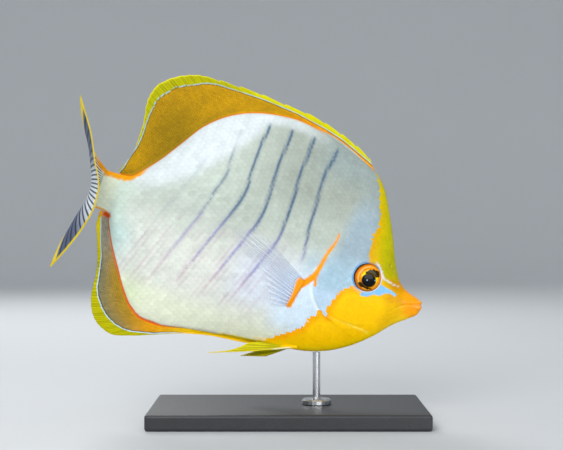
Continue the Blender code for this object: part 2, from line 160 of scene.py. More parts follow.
def passed_along(points):
    """How far each point lies along its line, where lines run down the first axis."""
    spans = np.linalg.norm(np.diff(points, axis=0), axis=-1)
    return np.concatenate((np.zeros((1, *spans.shape[1:])), np.cumsum(spans, axis=0)))


def waves(turns):
    """Runs from 1 through 0 and back for each whole turn."""
    return 0.5 + 0.5 * np.cos(turns * 2 * math.pi)


def from_line(line, x, z):
    """Distance to an open line, positive on the left of its course, and the share of it passed."""
    line = np.array(line, float)
    x, z = np.asarray(x, float), np.asarray(z, float)
    best, signed, passed = np.full(x.shape, np.inf), np.zeros(x.shape), np.zeros(x.shape)
    spans = np.hypot(*np.diff(line, axis=0).T)
    start, whole = 0.0, spans.sum()
    for (ax, az), (bx, bz), span in zip(line, line[1:], spans):
        ux, uz = (bx - ax) / span, (bz - az) / span
        along = np.clip((x - ax) * ux + (z - az) * uz, 0, span)
        away = np.hypot(x - ax - along * ux, z - az - along * uz)
        left = np.sign(ux * (z - az) - uz * (x - ax))
        nearer = away < best
        best = np.where(nearer, away, best)
        signed = np.where(nearer, away * left, signed)
        passed = np.where(nearer, (start + along) / whole, passed)
        start += span
    return signed, passed


def inside(corners, x, z):
    """Signed depth in a closed polygon: positive inside it."""
    corners = np.array(corners, float)
    closed = np.vstack((corners, corners[:1]))
    away = np.abs(from_line(closed, x, z)[0])
    within = np.zeros(np.shape(x), bool)
    for (ax, az), (bx, bz) in zip(closed, closed[1:]):
        if az != bz:
            within ^= ((az > z) != (bz > z)) & (x < (bx - ax) * (z - az) / (bz - az) + ax)
    return np.where(within, away, -away)


def rgb(red, green, blue):
    """A linear colour from its usual 0 to 255 values."""
    part = np.array((red, green, blue), float) / 255
    return np.where(part <= 0.04045, part / 12.92, ((part + 0.055) / 1.055) ** 2.4)


def layered(tint, *layers):
    """The tint under layers that are each a colour and its share."""
    for colour, share in layers:
        tint = tint + (colour - tint) * np.asarray(share)[..., None]
    return tint


def lit(tint, factor):
    """The tint made lighter or darker by this factor."""
    return tint * np.asarray(factor)[..., None]


def ripple(x, z, size, seed):
    """Smooth noise from -1 to 1 made of a few crossing waves about this many mm long."""
    made = np.zeros(np.shape(x))
    draws = np.random.default_rng(seed)
    for _ in range(6):
        turn, phase = draws.uniform(0, math.pi), draws.uniform(0, 2 * math.pi)
        length = size * draws.uniform(0.6, 1.6)
        made = made + np.sin((x * math.cos(turn) + z * math.sin(turn)) * 2 * math.pi / length + phase)
    return made / 3.2


# Markings in the side view: the yellow head's rear border, the cheek patch and stripes
NAPE_BORDER = ((110.6, 51.5), (113.6, 46.4), (115.8, 42.4), (117.4, 38.2), (119.1, 33.9), (120.9, 27.1),
               (119.6, 22.2), (120.2, 17.9), (119.9, 14.9), (121.4, 12.9), (120.8, 10.3))
CHEEK_BORDER = ((122.5, 1.5), (120.6, -1.2), (117.1, -1.9), (115.2, -3.6), (113.4, -5.7), (112.4, -8.5),
                (112.0, -11.6), (110.7, -13.5), (111.2, -16.4), (112.0, -17.8), (108.2, -16.4),
                (106.9, -18.3), (104.8, -21.0), (103.8, -23.9), (103.1, -26.1), (101.0, -27.3),
                (98.4, -29.7), (95.0, -32.2), (91.8, -35.0), (84.0, -37.9))
YELLOW_HEAD = (*NAPE_BORDER, *CHEEK_BORDER, (84, -60), (170, -60), (170, 60), (108, 60))
EYE_PATCH = ((122.3, -4.2), (122.6, -2.0), (124.8, -1.6), (126.8, -0.1), (129.6, 3.4), (132.2, 2.6),
             (134.8, 2.3), (137.8, 1.2), (137.0, 0.2), (134.6, 0.9), (132.6, 0.2), (130.4, -1.6),
             (127.8, -1.8), (125.6, -3.6))
BROW_STREAK = ((125.2, 11.2), (127.7, 8.8), (129.7, 6.3), (134.1, 5.0), (137.6, 4.9))
GILL_STRIPE = ((105.2, 18.4), (104.9, 14.4), (102.9, 8.3), (102.1, 3.2), (100.9, -2.3), (98.7, -5.6),
               (95.8, -8.8), (94.9, -13.1), (94.5, -17.6))
STRIPE_SPUR = ((101.6, -3.4), (102.4, -6.2))
STRIPE_WIDTH = smooth(((0, 0.2), (0.15, 0.5), (0.35, 0.7), (0.5, 1.0), (0.62, 1.3), (0.8, 1.5), (1, 1.35)))
CHEEK_FOLD = ((112.6, -17.4), (120.7, -17.6), (126, -17.9), (131, -18.5))

# Folds that only the skin's relief shows, and the nostrils as x, z and radius
PREOPERCLE = rounded(((117.5, 1.0), (113.2, -3), (111.4, -9), (113.2, -14.2), (119, -16.6), (127, -16.2)), 4)
JAW_FOLD = rounded(((145.2, -0.8), (142.6, -1.8), (139.6, -4.0), (137.6, -6.6)), 4)
NOSTRILS = ((131.2, 12.4, 0.5), (132.9, 10.6, 0.4))

# Body lines: the first one's place along the back, their spacing and how dark each is, rear to front
LINE_START, LINE_SPACING = 41.0, 10.15
LINE_DARKNESS = (0.16, 0.62, 0.95, 1.0, 1.0, 0.9)
SCALE_LENGTH, SCALE_HEIGHT = LINE_SPACING / 5, 2.1

# The line between the inner part and the outer band of the back fin and of the belly fin
DORSAL_LINE = ((5.4, 12.3), (6.6, 15.0), (7.8, 20.9), (9.3, 25.9), (9.8, 31.6), (9.6, 37.3), (9.8, 41.9),
               (10.6, 46.8), (11.6, 49.6), (14.0, 52.5), (16.9, 55.8), (20.7, 57.9), (25.1, 59.9),
               (28.6, 61.6), (33.2, 62.7), (41.2, 62.9), (51.3, 63.1), (56.9, 63.0), (63.6, 62.6),
               (70.8, 62.1), (77.4, 61.0), (84.8, 59.8), (93.0, 57.8), (99.1, 55.6), (107.1, 52.5),
               (112.4, 50.2))
ANAL_LINE = ((3.9, -7.6), (4.6, -10.3), (7.6, -19.2), (9.9, -25.0), (11.4, -31.9), (12.5, -38.5),
             (14.4, -42.5), (17.7, -46.6), (21.0, -49.3), (25.0, -51.2), (29.1, -52.0), (32.8, -51.9),
             (41.6, -49.8), (50, -46.6), (60, -43.6))

SHADE = rgb(0, 0, 0)
BACK_WHITE, BODY_GREY, NAPE_GREY = rgb(209, 218, 221), rgb(155, 163, 153), rgb(147, 160, 157)
FLANK_PALE, FLANK_CREAM, BELLY_CREAM = rgb(186, 197, 187), rgb(213, 218, 209), rgb(222, 227, 204)
FLANK_BLUE, BREAST_WHITE, MARGIN_PALE = rgb(206, 215, 226), rgb(208, 226, 240), rgb(226, 238, 248)
CHEEK_GREY, CHEEK_BLUE, CHEEK_PALE = rgb(152, 172, 183), rgb(164, 194, 210), rgb(184, 209, 230)
STALK_GREEN, LIT_STALK_PALE = rgb(192, 208, 195), rgb(226, 232, 206)
LIT_SEA_TINT, ANAL_GLOW = rgb(198, 226, 222), rgb(198, 216, 172)
HEAD_YELLOW, HEAD_ORANGE, NAPE_GREEN = rgb(255, 199, 0), rgb(252, 164, 0), rgb(190, 184, 0)
NAPE_GOLD, NAPE_ORANGE, FOLD_PALE = rgb(214, 181, 0), rgb(222, 164, 0), rgb(255, 232, 90)
SNOUT_YELLOW, LIP_ORANGE, LIT_THROAT = rgb(222, 160, 0), rgb(250, 158, 0), rgb(250, 207, 0)
PATCH_BLUE, STREAK_LILAC, HALO_BLUE = rgb(136, 196, 246), rgb(222, 220, 226), rgb(160, 206, 244)
STRIPE_ORANGE, STRIPE_DARK = rgb(248, 154, 0), rgb(220, 136, 60)
LINE_STEEL, LINE_VIOLET, LINE_PINK = rgb(46, 82, 118), rgb(122, 114, 176), rgb(184, 150, 170)
EDGE_ORANGE, EDGE_RED, EDGE_YELLOW = rgb(240, 160, 0), rgb(228, 88, 24), rgb(248, 200, 10)
LIT_KEEL_YELLOW = rgb(255, 226, 20)


def knee_back(x0, z):
    """How far back a scale column runs below its knee, where the lines bend toward the tail."""
    below = 8 + (81 - x0) * 0.6 - z
    return 0.38 * (below + np.sqrt(below * below + 16)) / 2


def column_of(x, z):
    """Where along the back the scale column through this place starts."""
    x0 = np.array(x, float)
    for _ in range(12):
        x0 = 0.5 * x0 + 0.5 * (x + knee_back(x0, z))
    return x0


def red_spot(x, z):
    """The ragged red spot where the belly fin starts behind."""
    return step(1.05, 0.8, np.hypot((x - 6.2) / 2.0, (z + 7.1) / 1.15) + 0.2 * ripple(x, z, 1.4, 18))


def ground_tint(x, z, depth):
    """The body's colour under its markings, this deep under the line of the back."""
    cream_from = 9 + 10 * step(50, 75, x)
    white_from = 11 + 0.35 * (x - 19) + 0.0155 * (x - 19) ** 2
    ahead = from_line(gill_edge, x, z)[0]
    margin = step(-1.7, -0.9, ahead) * step(0.4, 0.1, ahead) * step(4, 0, z) * step(-19, -17, z)
    tint = layered(
        BODY_GREY,
        (NAPE_GREY, step(32, 48, z) * step(78, 96, x)),
        (FLANK_PALE, step(86, 42, x)),
        (FLANK_PALE, 0.65 * step(34, 14, z) * step(60, 78, x)),
        (FLANK_CREAM, step(cream_from, -11, z + (x - 50) * 0.05)),
        (SHADE, 0.06 * step(50, 25, x)),
        (FLANK_BLUE, 0.9 * step(58, 76, x) * step(10, -8, z) * step(-28, -18, z)),
        (BELLY_CREAM, step(-24, -36, z)),
        (BACK_WHITE, step(-5.5, 5.5, z - white_from)),
        (BACK_WHITE, 0.75 * step(6.5, 2.5, depth) * step(95, 72, x)),
        (STALK_GREEN, 0.9 * step(19, 8, x) * step(16, 11, z)),
        # the pale yellowish end of the tail stalk: partly the fish's colour, partly painted light on a stalk
        # that lies in shade
        (LIT_STALK_PALE, step(9, 3, x)),
        # the fish's pale blue-green near the belly fin, made lighter as painted light against the shade of
        # the curving edge
        (LIT_SEA_TINT, 0.8 * spot(x, z, 14, -15, 7, 9)),
        (ANAL_GLOW, 0.55 * spot(x, z, 26, -36, 7, 7)),
        (CHEEK_GREY, step(101, 109, x - z * 0.12) * step(46, 24, z)),
        (CHEEK_BLUE, step(99, 105, x) * step(14, 0, z)),
        (CHEEK_PALE, step(97, 101, x) * step(-3, -10, z)),
        (BREAST_WHITE, 0.9 * step(0.5, -0.5, ahead) * step(84, 93, x) * step(-2, -6, z) * step(-34, -24, z)),
        (CHEEK_BLUE, 0.6 * spot(x, z, 98.5, 2, 4, 6)),
        (MARGIN_PALE, 0.8 * margin))
    # Painted light: the hollow where the tail stalk rises into the body is lightened to offset its shade.
    return lit(tint, 1 + 0.02 * ripple(x, z, 9, 3) + 0.28 * spot(x, z, 9.5, -4, 4.5, 8))


def with_lines(tint, x, z, depth):
    """The tint under the body lines and the fine lines of the scale columns between them."""
    x0 = column_of(x, z) - LINE_START
    which = np.clip(np.round(x0 / LINE_SPACING), 0, len(LINE_DARKNESS) - 1).astype(int)
    rear, first = which < 2, which == len(LINE_DARKNESS) - 1
    wave = 0.1 * np.sin(z * 2 * math.pi / SCALE_HEIGHT) + 0.2 * ripple(x, z, 8, 4)
    bend = (2.3 * step(22, 0, z) + step(40, 50, z)) * first - 0.8 * hump(z, 38, 10)
    bend = bend + 1.5 * step(20, 4, z) * (which == 1)
    away = np.abs(x0 - which * LINE_SPACING + wave - bend)
    below = depth + np.clip(which - 3, 0, 2) * 1.1
    dark = np.array(LINE_DARKNESS)[which] * step(3.6, 6.5, below) * step(-31, -12, z + (40 - x0) * 0.1)
    dark = dark * np.where(rear, 0.2 + 0.8 * step(14, 24, depth), 1) * np.where(first, step(-2, 8, z), 1)
    width = 0.01 + (0.86 - 0.3 * step(16, -6, z)) * step(2.4, 8, below) * np.where(rear, 0.75, 1)
    violet = step(18, -2, z)
    line = layered(LINE_STEEL, (LINE_VIOLET, violet), (LINE_PINK, step(-6, -20, z)))
    column = np.round(x0 / SCALE_LENGTH)
    from_column = np.abs(x0 / SCALE_LENGTH - column) * SCALE_LENGTH
    fine = np.clip(0.2 + 0.13 * np.sin(column * 2.4) + 0.13 * ripple(x, z, 9, 19), 0, 1)
    fine = fine * step(14, 0, z) * step(-34, -24, z) * step(-13, 1, x0) * step(55, 45, x0)
    return layered(
        tint,
        (line, dark * step(width, width * 0.15, away) * (0.95 - 0.2 * violet)),
        (line, 0.2 * dark * step(1.7, 0.4, away)),
        (LINE_PINK, fine * step(0.5, 0.1, from_column + 0.5 * wave)))


def head_yellow(x, z, depth):
    """The yellow of the head, which greens up the nape and turns orange at its borders."""
    rear = inside(YELLOW_HEAD, x, z)
    upper = step(2, 9, z) * step(142, 135, x)
    dusk = 0.2 * (step(131, 140, x) * step(-1, -5, z) + step(130, 134, x) * step(1.5, 4, z) * step(8, 6, z))
    dusk = dusk + 0.12 * step(5, 8, z) * step(20, 16, z) * step(123, 127, x)
    fold, passed = from_line(CHEEK_FOLD, x, z)
    return layered(
        HEAD_YELLOW,
        (NAPE_GOLD, upper),
        (NAPE_GREEN, upper * step(-4, 5, rear - depth * 0.3)),
        (SNOUT_YELLOW, step(129, 136, x) * step(-5, -1, z) * step(9, 5, z)),
        (layered(HEAD_ORANGE, (NAPE_ORANGE, upper)), 0.8 * step(3.5, 0.3, rear) * step(7, 16, depth)),
        (SHADE, dusk),
        # painted light: a lighter yellow along the underside of the throat, to offset its shade
        (LIT_THROAT, 0.8 * step(4.5, 0.6, z - belly_line(x))),
        (LIP_ORANGE, step(138, 145, x + 0.4 * z) * step(-9, -5, z)),
        (FOLD_PALE, (0.2 + 0.4 * step(0.35, 0.6, passed)) * hump(fold, 0, 0.5)))


def body_tint(x, z, cx, cz):
    """The body's colour at (x, z), with the ragged borders taken at the scale's centre (cx, cz)."""
    depth, bottom = back_line(x) - z, z - belly_line(x)
    stripe, passed = from_line(GILL_STRIPE, x, z)
    width = STRIPE_WIDTH(passed) + 0.12 * ripple(x, z, 2.4, 5) + 0.06 * ripple(x, z, 1.0, 6)
    band = np.minimum(np.abs(stripe) - width, np.abs(from_line(STRIPE_SPUR, x, z)[0]) - 0.5)
    deep = inside(YELLOW_HEAD, cx, cz) + 0.35 * ripple(cx, cz, 2.4, 8) + 0.2 * ripple(cx, cz, 1.1, 9)
    tint = layered(
        with_lines(ground_tint(x, z, depth), x, z, depth),
        (STRIPE_DARK, 0.6 * step(0.3, 0.0, band)),
        (STRIPE_ORANGE, step(0.1, -0.15, band)),
        (head_yellow(x, z, depth), step(-0.1, 0.1, deep)))
    # Painted light: how much the underside near the belly edge is lightened, to offset its shade
    painted_underside_light = 0.55 * step(32, 20, x) * step(4, 8, x) + 0.5 * step(40, 60, x)
    streak, passed = from_line(BROW_STREAK, x, z)
    # The yellow keel strip is the fish's own; its lighter yellow is painted light against the shade under the
    # belly.
    keel = step(67, 73, x) * step(104, 96, x) * step(1.4, 0.9, bottom + 0.3 * ripple(x, z, 3, 17))
    return layered(
        lit(tint, 1 + 0.25 * step(6, 1, bottom) * painted_underside_light),
        (PATCH_BLUE, step(-0.15, 0.15, inside(EYE_PATCH, x, z) + 0.12 * ripple(x, z, 1.2, 12))),
        (STREAK_LILAC, 0.9 * step(1.05, 0.25, np.abs(streak) + 0.3 * ripple(x, z, 1.4, 14) + 0.5 * passed)),
        (HALO_BLUE, 0.25 * step(8.4, 6.6, from_eye(x, z)) * step(124, 119, x)),
        (EDGE_ORANGE, step(18, 14, x) * step(3.0, 2.1, depth + 0.3 * ripple(x, z, 2, 17))),
        (EDGE_ORANGE, 0.4 * step(14, 18, x) * step(90, 78, x) * step(0.6, 0.15, depth)),
        (EDGE_ORANGE, step(7, 5, x) * step(1.3, 0.6, bottom)),
        (EDGE_RED, red_spot(x, z)),
        (EDGE_RED, 0.8 * step(7, 9, x) * step(58, 50, x) * step(0.9, 0.3, bottom)),
        (LIT_KEEL_YELLOW, keel))


def put(name, data):
    """A new object of this data in the scene."""
    made = bpy.data.objects.new(name, data)
    bpy.context.scene.collection.objects.link(made)
    return made


def make_piece(name, points, faces, tint, finish, bake=None):
    """A mesh of quads riding on the root body, with a tint for each point, with or without alpha."""
    points, faces = np.reshape(points, (-1, 3)), np.reshape(faces, (-1, 4))
    tint = tint.reshape(-1, tint.shape[-1])
    corners = points[faces]
    crossed = (np.cross(corners[:, k], corners[:, k + 1]) for k in (1, 2))
    if sum(np.einsum("ij,ij->", corners[:, 0], normal) for normal in crossed) < 0:
        faces = faces[:, ::-1]
        bake = bake[:, ::-1] if bake is not None else None
    mesh = bpy.data.meshes.new(name)
    mesh.vertices.add(len(points))
    mesh.vertices.foreach_set("co", to_world(points).astype(np.float32).ravel())
    mesh.loops.add(faces.size)
    mesh.loops.foreach_set("vertex_index", faces.astype(np.int32).ravel())
    mesh.polygons.add(len(faces))
    mesh.polygons.foreach_set("loop_start", np.arange(0, faces.size, 4, dtype=np.int32))
    mesh.update(calc_edges=True)
    mesh.shade_smooth()
    if tint.shape[1] == 3:
        tint = np.hstack((tint, np.ones((len(tint), 1))))
    colours = mesh.attributes.new("tint", "FLOAT_COLOR", "POINT")
    colours.data.foreach_set("color", np.clip(tint, 0, 1).astype(np.float32).ravel())
    if bake is not None:
        chart = mesh.uv_layers.new(name="OFBake")
        chart.data.foreach_set("uv", bake.astype(np.float32).ravel())
    mesh.materials.append(finish)
    made = put(name, mesh)
    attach(made, "root")
    return made


def closed_sheet(rows, columns):
    """Faces of a thin solid, whose top and under sides are grids of points that follow each other."""
    ids = np.arange(rows * columns).reshape(rows, columns)
    top = np.stack((ids[:-1, :-1], ids[:-1, 1:], ids[1:, 1:], ids[1:, :-1]), axis=-1).reshape(-1, 4)
    border = np.concatenate((ids[0], ids[1:, -1], ids[-1, -2::-1], ids[-2:0:-1, 0]))
    after = np.roll(border, -1)
    walls = np.stack((border, border + ids.size, after + ids.size, after), axis=1)
    return np.concatenate((top, top[:, ::-1] + ids.size, walls))


def ring_faces(rows, around, closed=False):
    """Faces between rows of rings, and from the last ring to the first where it is closed."""
    ids = np.arange(rows * around).reshape(rows, around)
    if closed:
        ids = np.vstack((ids, ids[:1]))
    after = np.roll(ids, -1, axis=1)
    return np.stack((ids[:-1], after[:-1], after[1:], ids[1:]), axis=-1).reshape(-1, 4)


class Finish:
    """A new material and its nodes. An underscore in a socket's name stands for a space."""

    def __init__(self, name):
        self.material = bpy.data.materials.new(name)
        self.material.use_nodes = True
        self.tree = self.material.node_tree
        self.shader = self.tree.nodes["Principled BSDF"]

    def feed(self, node, **sockets):
        """Sets sockets to plain values, or joins them to other nodes' outputs."""
        for name, value in sockets.items():
            socket = node.inputs[name.replace("_", " ")]
            if isinstance(value, bpy.types.NodeSocket):
                self.tree.links.new(value, socket)
            else:
                socket.default_value = value

    def add(self, kind, **sockets):
        """A new node that is fed by these sockets."""
        node = self.tree.nodes.new(f"ShaderNode{kind}")
        self.feed(node, **sockets)
        return node

    def ramp(self, share, places, colours):
        """A soft change from one colour to another, between two places of the share."""
        node = self.add("ValToRGB", Fac=share)
        for element, place, colour in zip(node.color_ramp.elements, places, colours):
            element.position = place
            element.color = (*colour, 1)
        return node.outputs["Color"]


GRAIN_HEIGHT = 0.0002
SOFT_REACH = (0.0014, 0.001, 0.0007)


def tinted(name, roughness, coat=0.0, bump=0.1, grain=700.0, mottle=0.06, sheer=False, soft=0.0, pits=0.0,
           gloss=0.14, coat_roughness=0.18, coat_ior=1.5):
    """A finish that takes its colour from the tint attribute, with grain, mottling and a satin coat."""
    made = Finish(name)
    paint = made.add("Attribute")
    paint.attribute_name = "tint"
    place = made.add("TexCoord").outputs["Object"]
    noise = made.add("TexNoise", Vector=place, Scale=grain, Detail=4).outputs["Fac"]
    broad = made.add("TexNoise", Vector=place, Scale=grain / 6, Detail=3).outputs["Fac"]
    spread = made.add("MapRange", Value=broad, From_Min=0.3, From_Max=0.7, To_Min=1 - mottle,
                      To_Max=1 + mottle)
    shade = made.add("VectorMath")
    shade.operation = "SCALE"
    made.feed(shade, Vector=paint.outputs["Color"], Scale=spread.outputs["Result"])
    rough = made.add("MapRange", Value=noise, To_Min=roughness * 0.8, To_Max=min(1.0, roughness * 1.25))
    height = made.add("Bump", Strength=bump, Distance=GRAIN_HEIGHT, Height=noise)
    if pits:
        cells = made.add("TexVoronoi", Vector=place, Scale=pits).outputs["Distance"]
        grit = made.add("Bump", Strength=bump, Distance=GRAIN_HEIGHT, Height=cells)
        made.feed(height, Normal=grit.outputs["Normal"])
    made.feed(made.shader, Base_Color=shade.outputs["Vector"], Roughness=rough.outputs["Result"],
              Normal=height.outputs["Normal"], Coat_Weight=coat, Coat_Roughness=coat_roughness,
              Coat_IOR=coat_ior, Specular_IOR_Level=gloss)
    if soft:
        made.feed(made.shader, Subsurface_Weight=soft, Subsurface_Radius=SOFT_REACH, Subsurface_Scale=1.0)
    if sheer:
        made.feed(made.shader, Alpha=paint.outputs["Alpha"])
    return made.material


skin_finish = tinted("fish skin", 0.42, coat=0.12, bump=0.25, grain=900, soft=0.12, pits=1400)
scale_finish = tinted("fish scales", 0.42, coat=0.04, bump=0.18, grain=1500, mottle=0.05, gloss=0.1)
fin_finish = tinted("scaly fin", 0.45, coat=0.02, bump=0.2, grain=1200, mottle=0.07, gloss=0.06)
sheer_finish = tinted("sheer fin", 0.35, coat=0.1, bump=0.12, grain=1000, sheer=True)
eye_finish = tinted("wet eye", 0.3, coat=0.25, bump=0.05, grain=1800, mottle=0.08, gloss=0.06,
                    coat_roughness=0.03, coat_ior=1.45)
lip_finish = tinted("lips", 0.34, coat=0.25, bump=0.15, grain=1500, soft=0.2, gloss=0.25)


# The skin: sections down the right side and up the left, evenly spaced round the girth
TAIL_END, HEAD_START, SNOUT_START, SNOUT_LENGTH = -1.0, 96, 148.5, 1.7
BODY_SECTIONS, HEAD_SECTIONS, SNOUT_SECTIONS = 170, 190, 12
PER_SIDE, ARC_STEPS = 176, 900
ROUND_FROM, SNOUT_ROUNDING, SCALES_END = 149.55, 0.7, 149
xs = np.concatenate((np.linspace(TAIL_END, HEAD_START, BODY_SECTIONS, endpoint=False),
                     np.linspace(HEAD_START, SNOUT_START, HEAD_SECTIONS, endpoint=False),
                     SNOUT_START + SNOUT_LENGTH * np.sin(np.linspace(0, math.pi / 2, SNOUT_SECTIONS))))
angles = np.linspace(0, math.pi, ARC_STEPS)
turn = np.cos(angles)[None, :]
level = widest(xs)[:, None]
fine_z = level + np.abs(turn) * (np.where(turn > 0, back_line(xs)[:, None], belly_line(xs)[:, None]) - level)
full = np.where(turn > 0, BACK_FULLNESS, BELLY_FULLNESS)
fine_y = ridge(xs)[:, None] + (girth(xs) - ridge(xs))[:, None] * np.clip(1 - turn * turn, 0, 1) ** full
runs = np.cumsum(np.hypot(np.diff(fine_z, axis=1), np.diff(fine_y, axis=1)), axis=1)
arc = np.concatenate((np.zeros((len(xs), 1)), runs), axis=1)
whole_arc = arc[:, -1]
middle_arc = np.array([np.interp(math.pi / 2, angles, row) for row in arc])
even = np.linspace(0, 1, PER_SIDE)
skin_y = np.array([np.interp(even * row[-1], row, y) for row, y in zip(arc, fine_y)])
skin_z = np.array([np.interp(even * row[-1], row, z) for row, z in zip(arc, fine_z)])
end = np.sqrt(np.clip(1 - (np.clip(xs - ROUND_FROM, 0, None) / SNOUT_ROUNDING) ** 2, 0.05, 1))[:, None]
centre_z = (skin_z[:, :1] + skin_z[:, -1:]) / 2
skin_y, skin_z = skin_y * end, centre_z + (skin_z - centre_z) * end
skin_x = np.broadcast_to(xs[:, None], skin_z.shape)
plain = np.stack((skin_x, skin_y, skin_z), axis=-1)
normals = unit(np.cross(np.gradient(plain, axis=0), np.gradient(plain, axis=1)))
normals *= np.sign(normals[..., 1].sum())


def relief(x, z):
    """How far the skin stands out over the plain body: gill cover, eye socket, nostrils, mouth."""
    ahead = from_line(gill_edge, x, z)[0]
    fore = from_line(PREOPERCLE, x, z)[0]
    jaw, passed = from_line(JAW_FOLD, x, z)
    away = from_eye(x, z)
    sideways = np.clip(normals[..., 1], 0, 1)
    covered = step(24, 14, z) * (1 - 0.85 * step(109, 116, x) * step(-12, -17, z))
    mouth = 0.4 - 1.2 * (150.3 - x) / 5.3
    out = GILL_SWELL * hump(ahead, 0, GILL_SWELL_REACH) * step(-0.35, 0.35, ahead) * sideways * covered
    out = out - 0.2 * hump(ahead, -0.7, 0.7) * covered
    out = out + 0.1 * hump(fore, 0, 0.9) - 0.12 * hump(fore, -1.3, 0.7)
    out = out - 0.28 * hump(jaw, 0, 0.45) * (1 - passed * 0.6)
    out = out - 0.45 * hump(z, mouth, 0.35) * step(144.6, 145.8, x) + 0.25 * spot(x, z, 129, -7, 6, 4)
    out = out + 0.22 * hump(away, 7.2, 0.9) - 4.2 * step(6.5, 5.7, away)
    for nx, nz, radius in NOSTRILS:
        near = np.hypot(x - nx, z - nz)
        out = out + 0.22 * hump(near, radius * 1.5, 0.3) - 1.1 * hump(near, 0, radius)
    return out * step(-1.2, 0.8, x + 1.2)


sunk = SKIN_DEPTH * (1 - 0.7 * step(134, 142, skin_x))
surface = plain + normals * (relief(skin_x, skin_z) - sunk)[..., None]


def mirror(points, side):
    """Points of the left half brought to the right side (-1) or kept (1)."""
    return points * np.array((1, side, 1))


def skin_piece():
    """The one skin that takes the place of the head, trunk and tail stalk."""
    rows, around = len(xs), 2 * PER_SIDE
    rings = np.concatenate((mirror(surface, -1), surface[:, ::-1]), axis=1)
    ids = np.arange(rows * around).reshape(rows, around)
    faces = [ring_faces(rows, around)]
    for ring, turned in ((ids[0], -1), (ids[-1], 1)):
        one, two = ring[:PER_SIDE], ring[PER_SIDE:][::-1]
        faces.append(np.stack((one[:-1], one[1:], two[1:], two[:-1]), axis=1)[:, ::turned])
    half = body_tint(skin_x, skin_z, skin_x, skin_z)
    tint = np.concatenate((half, half[:, ::-1]), axis=1)
    made = make_piece("skin", rings, np.concatenate(faces), tint, skin_finish)
    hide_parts("head", "trunk", "tail_stalk")


skin_piece()


def on_skin(x, v):
    """The left half's point and normal v mm down the girth from its widest level, and if it is there."""
    i = np.interp(x, xs, np.arange(len(xs)))
    low = np.clip(np.floor(i).astype(int), 0, len(xs) - 2)
    part = i - low
    points, outward, good = 0, 0, np.ones(np.shape(x), bool)
    for row, weight in ((low, 1 - part), (low + 1, part)):
        j = (v + middle_arc[row]) / whole_arc[row] * (PER_SIDE - 1)
        good &= (j > 0.2) & (j < PER_SIDE - 1.2)
        j = np.clip(j, 0, PER_SIDE - 1.001)
        near = np.floor(j).astype(int)
        share = (j - near)[..., None]
        weight = weight[..., None]
        points = points + weight * (surface[row, near] * (1 - share) + surface[row, near + 1] * share)
        outward = outward + weight * (normals[row, near] * (1 - share) + normals[row, near + 1] * share)
    return points, unit(outward), good & (x > xs[0]) & (x < SCALES_END)


BAKE_PATCH, BAKE_START, BAKE_LENGTH = 0.003 / 1.4, -4, 160
GIRTH_CHARTED, FIN_CHARTED = 75, 70
UNDER_SHADE, UNDER_SUNK, PLATE_CROWN = 0.97, 0.12, 0.035
RIM_ANGLE = math.radians(40)

# How much the scales vary in place, size, thickness and shade, and how much painted shade darkens their edges
PLACE_SPREAD, GROWTH, RISES, SHADE_SPREAD, EDGE_PAINTED_SHADE = 0.03, (0.96, 1.06), (0.85, 1.15), 0.028, 0.085


class Plate:
    """One scale: places along it, half widths and rises there, in shares of its size, and points across."""

    def __init__(self, along, wide, rise, across):
        rows, shares = len(along), np.linspace(-1, 1, across)
        self.p = np.repeat(along, across)
        self.q = (np.array(wide)[:, None] * shares).ravel()
        self.rise = (np.array(rise)[:, None] + PLATE_CROWN * (1 - shares ** 2)).ravel()
        tips = np.repeat(np.linspace(0, 1, rows) ** 4, across)
        self.edge = np.maximum(np.tile(np.abs(shares) ** 3, rows), tips)
        self.faces = closed_sheet(rows, across)


BODY_PLATE = Plate((-0.66, -0.05, 0.45, 0.86), (0.56, 0.66, 0.58, 0.2), (0.02, 0.09, 0.13, 0.11), 5)
SMALL_PLATE = Plate((-0.66, 0.2, 0.86), (0.56, 0.66, 0.24), (0.02, 0.11, 0.11), 3)
FINE_PLATE = Plate((-0.66, -0.3, 0.05, 0.36, 0.64, 0.86), (0.56, 0.63, 0.66, 0.61, 0.46, 0.2),
                   (0.02, 0.06, 0.1, 0.13, 0.13, 0.11), 7)


def lay_plates(name, plate, side, top, under, tint, x, share):
    """Joins the plates of one region, placed on the bake's chart by x and by this share of its height."""
    points = np.concatenate((top, under), axis=1)
    ids = (np.arange(len(top)) * points.shape[1])[:, None, None] + plate.faces
    roots = np.stack(((x - BAKE_START) / BAKE_LENGTH, 0.5 + side * (0.25 + share * 0.24)), axis=1)
    local = np.tile(np.stack((plate.p, plate.q), axis=1), (2, 1))
    bake = roots[:, None, None, :] + local[plate.faces][None] * BAKE_PATCH
    colours = np.concatenate((tint, tint * UNDER_SHADE), axis=1)
    made = make_piece(name, points, ids, colours, scale_finish, bake.reshape(-1, 4, 2))
    made.data.set_sharp_from_angle(angle=RIM_ANGLE)


def body_lattice(length, height, start, stop):
    """Scale centres in offset columns: the column's start along the back and v down the girth."""
    x0, v = [], []
    for column in np.arange(round(start / length), round(stop / length)):
        rows = np.arange(-72 // height, 72 // height)
        v.append((rows + 0.5 * (column % 2)) * height)
        x0.append(np.full(len(rows), column * length + LINE_START % length))
    return np.concatenate(x0), np.concatenate(v)


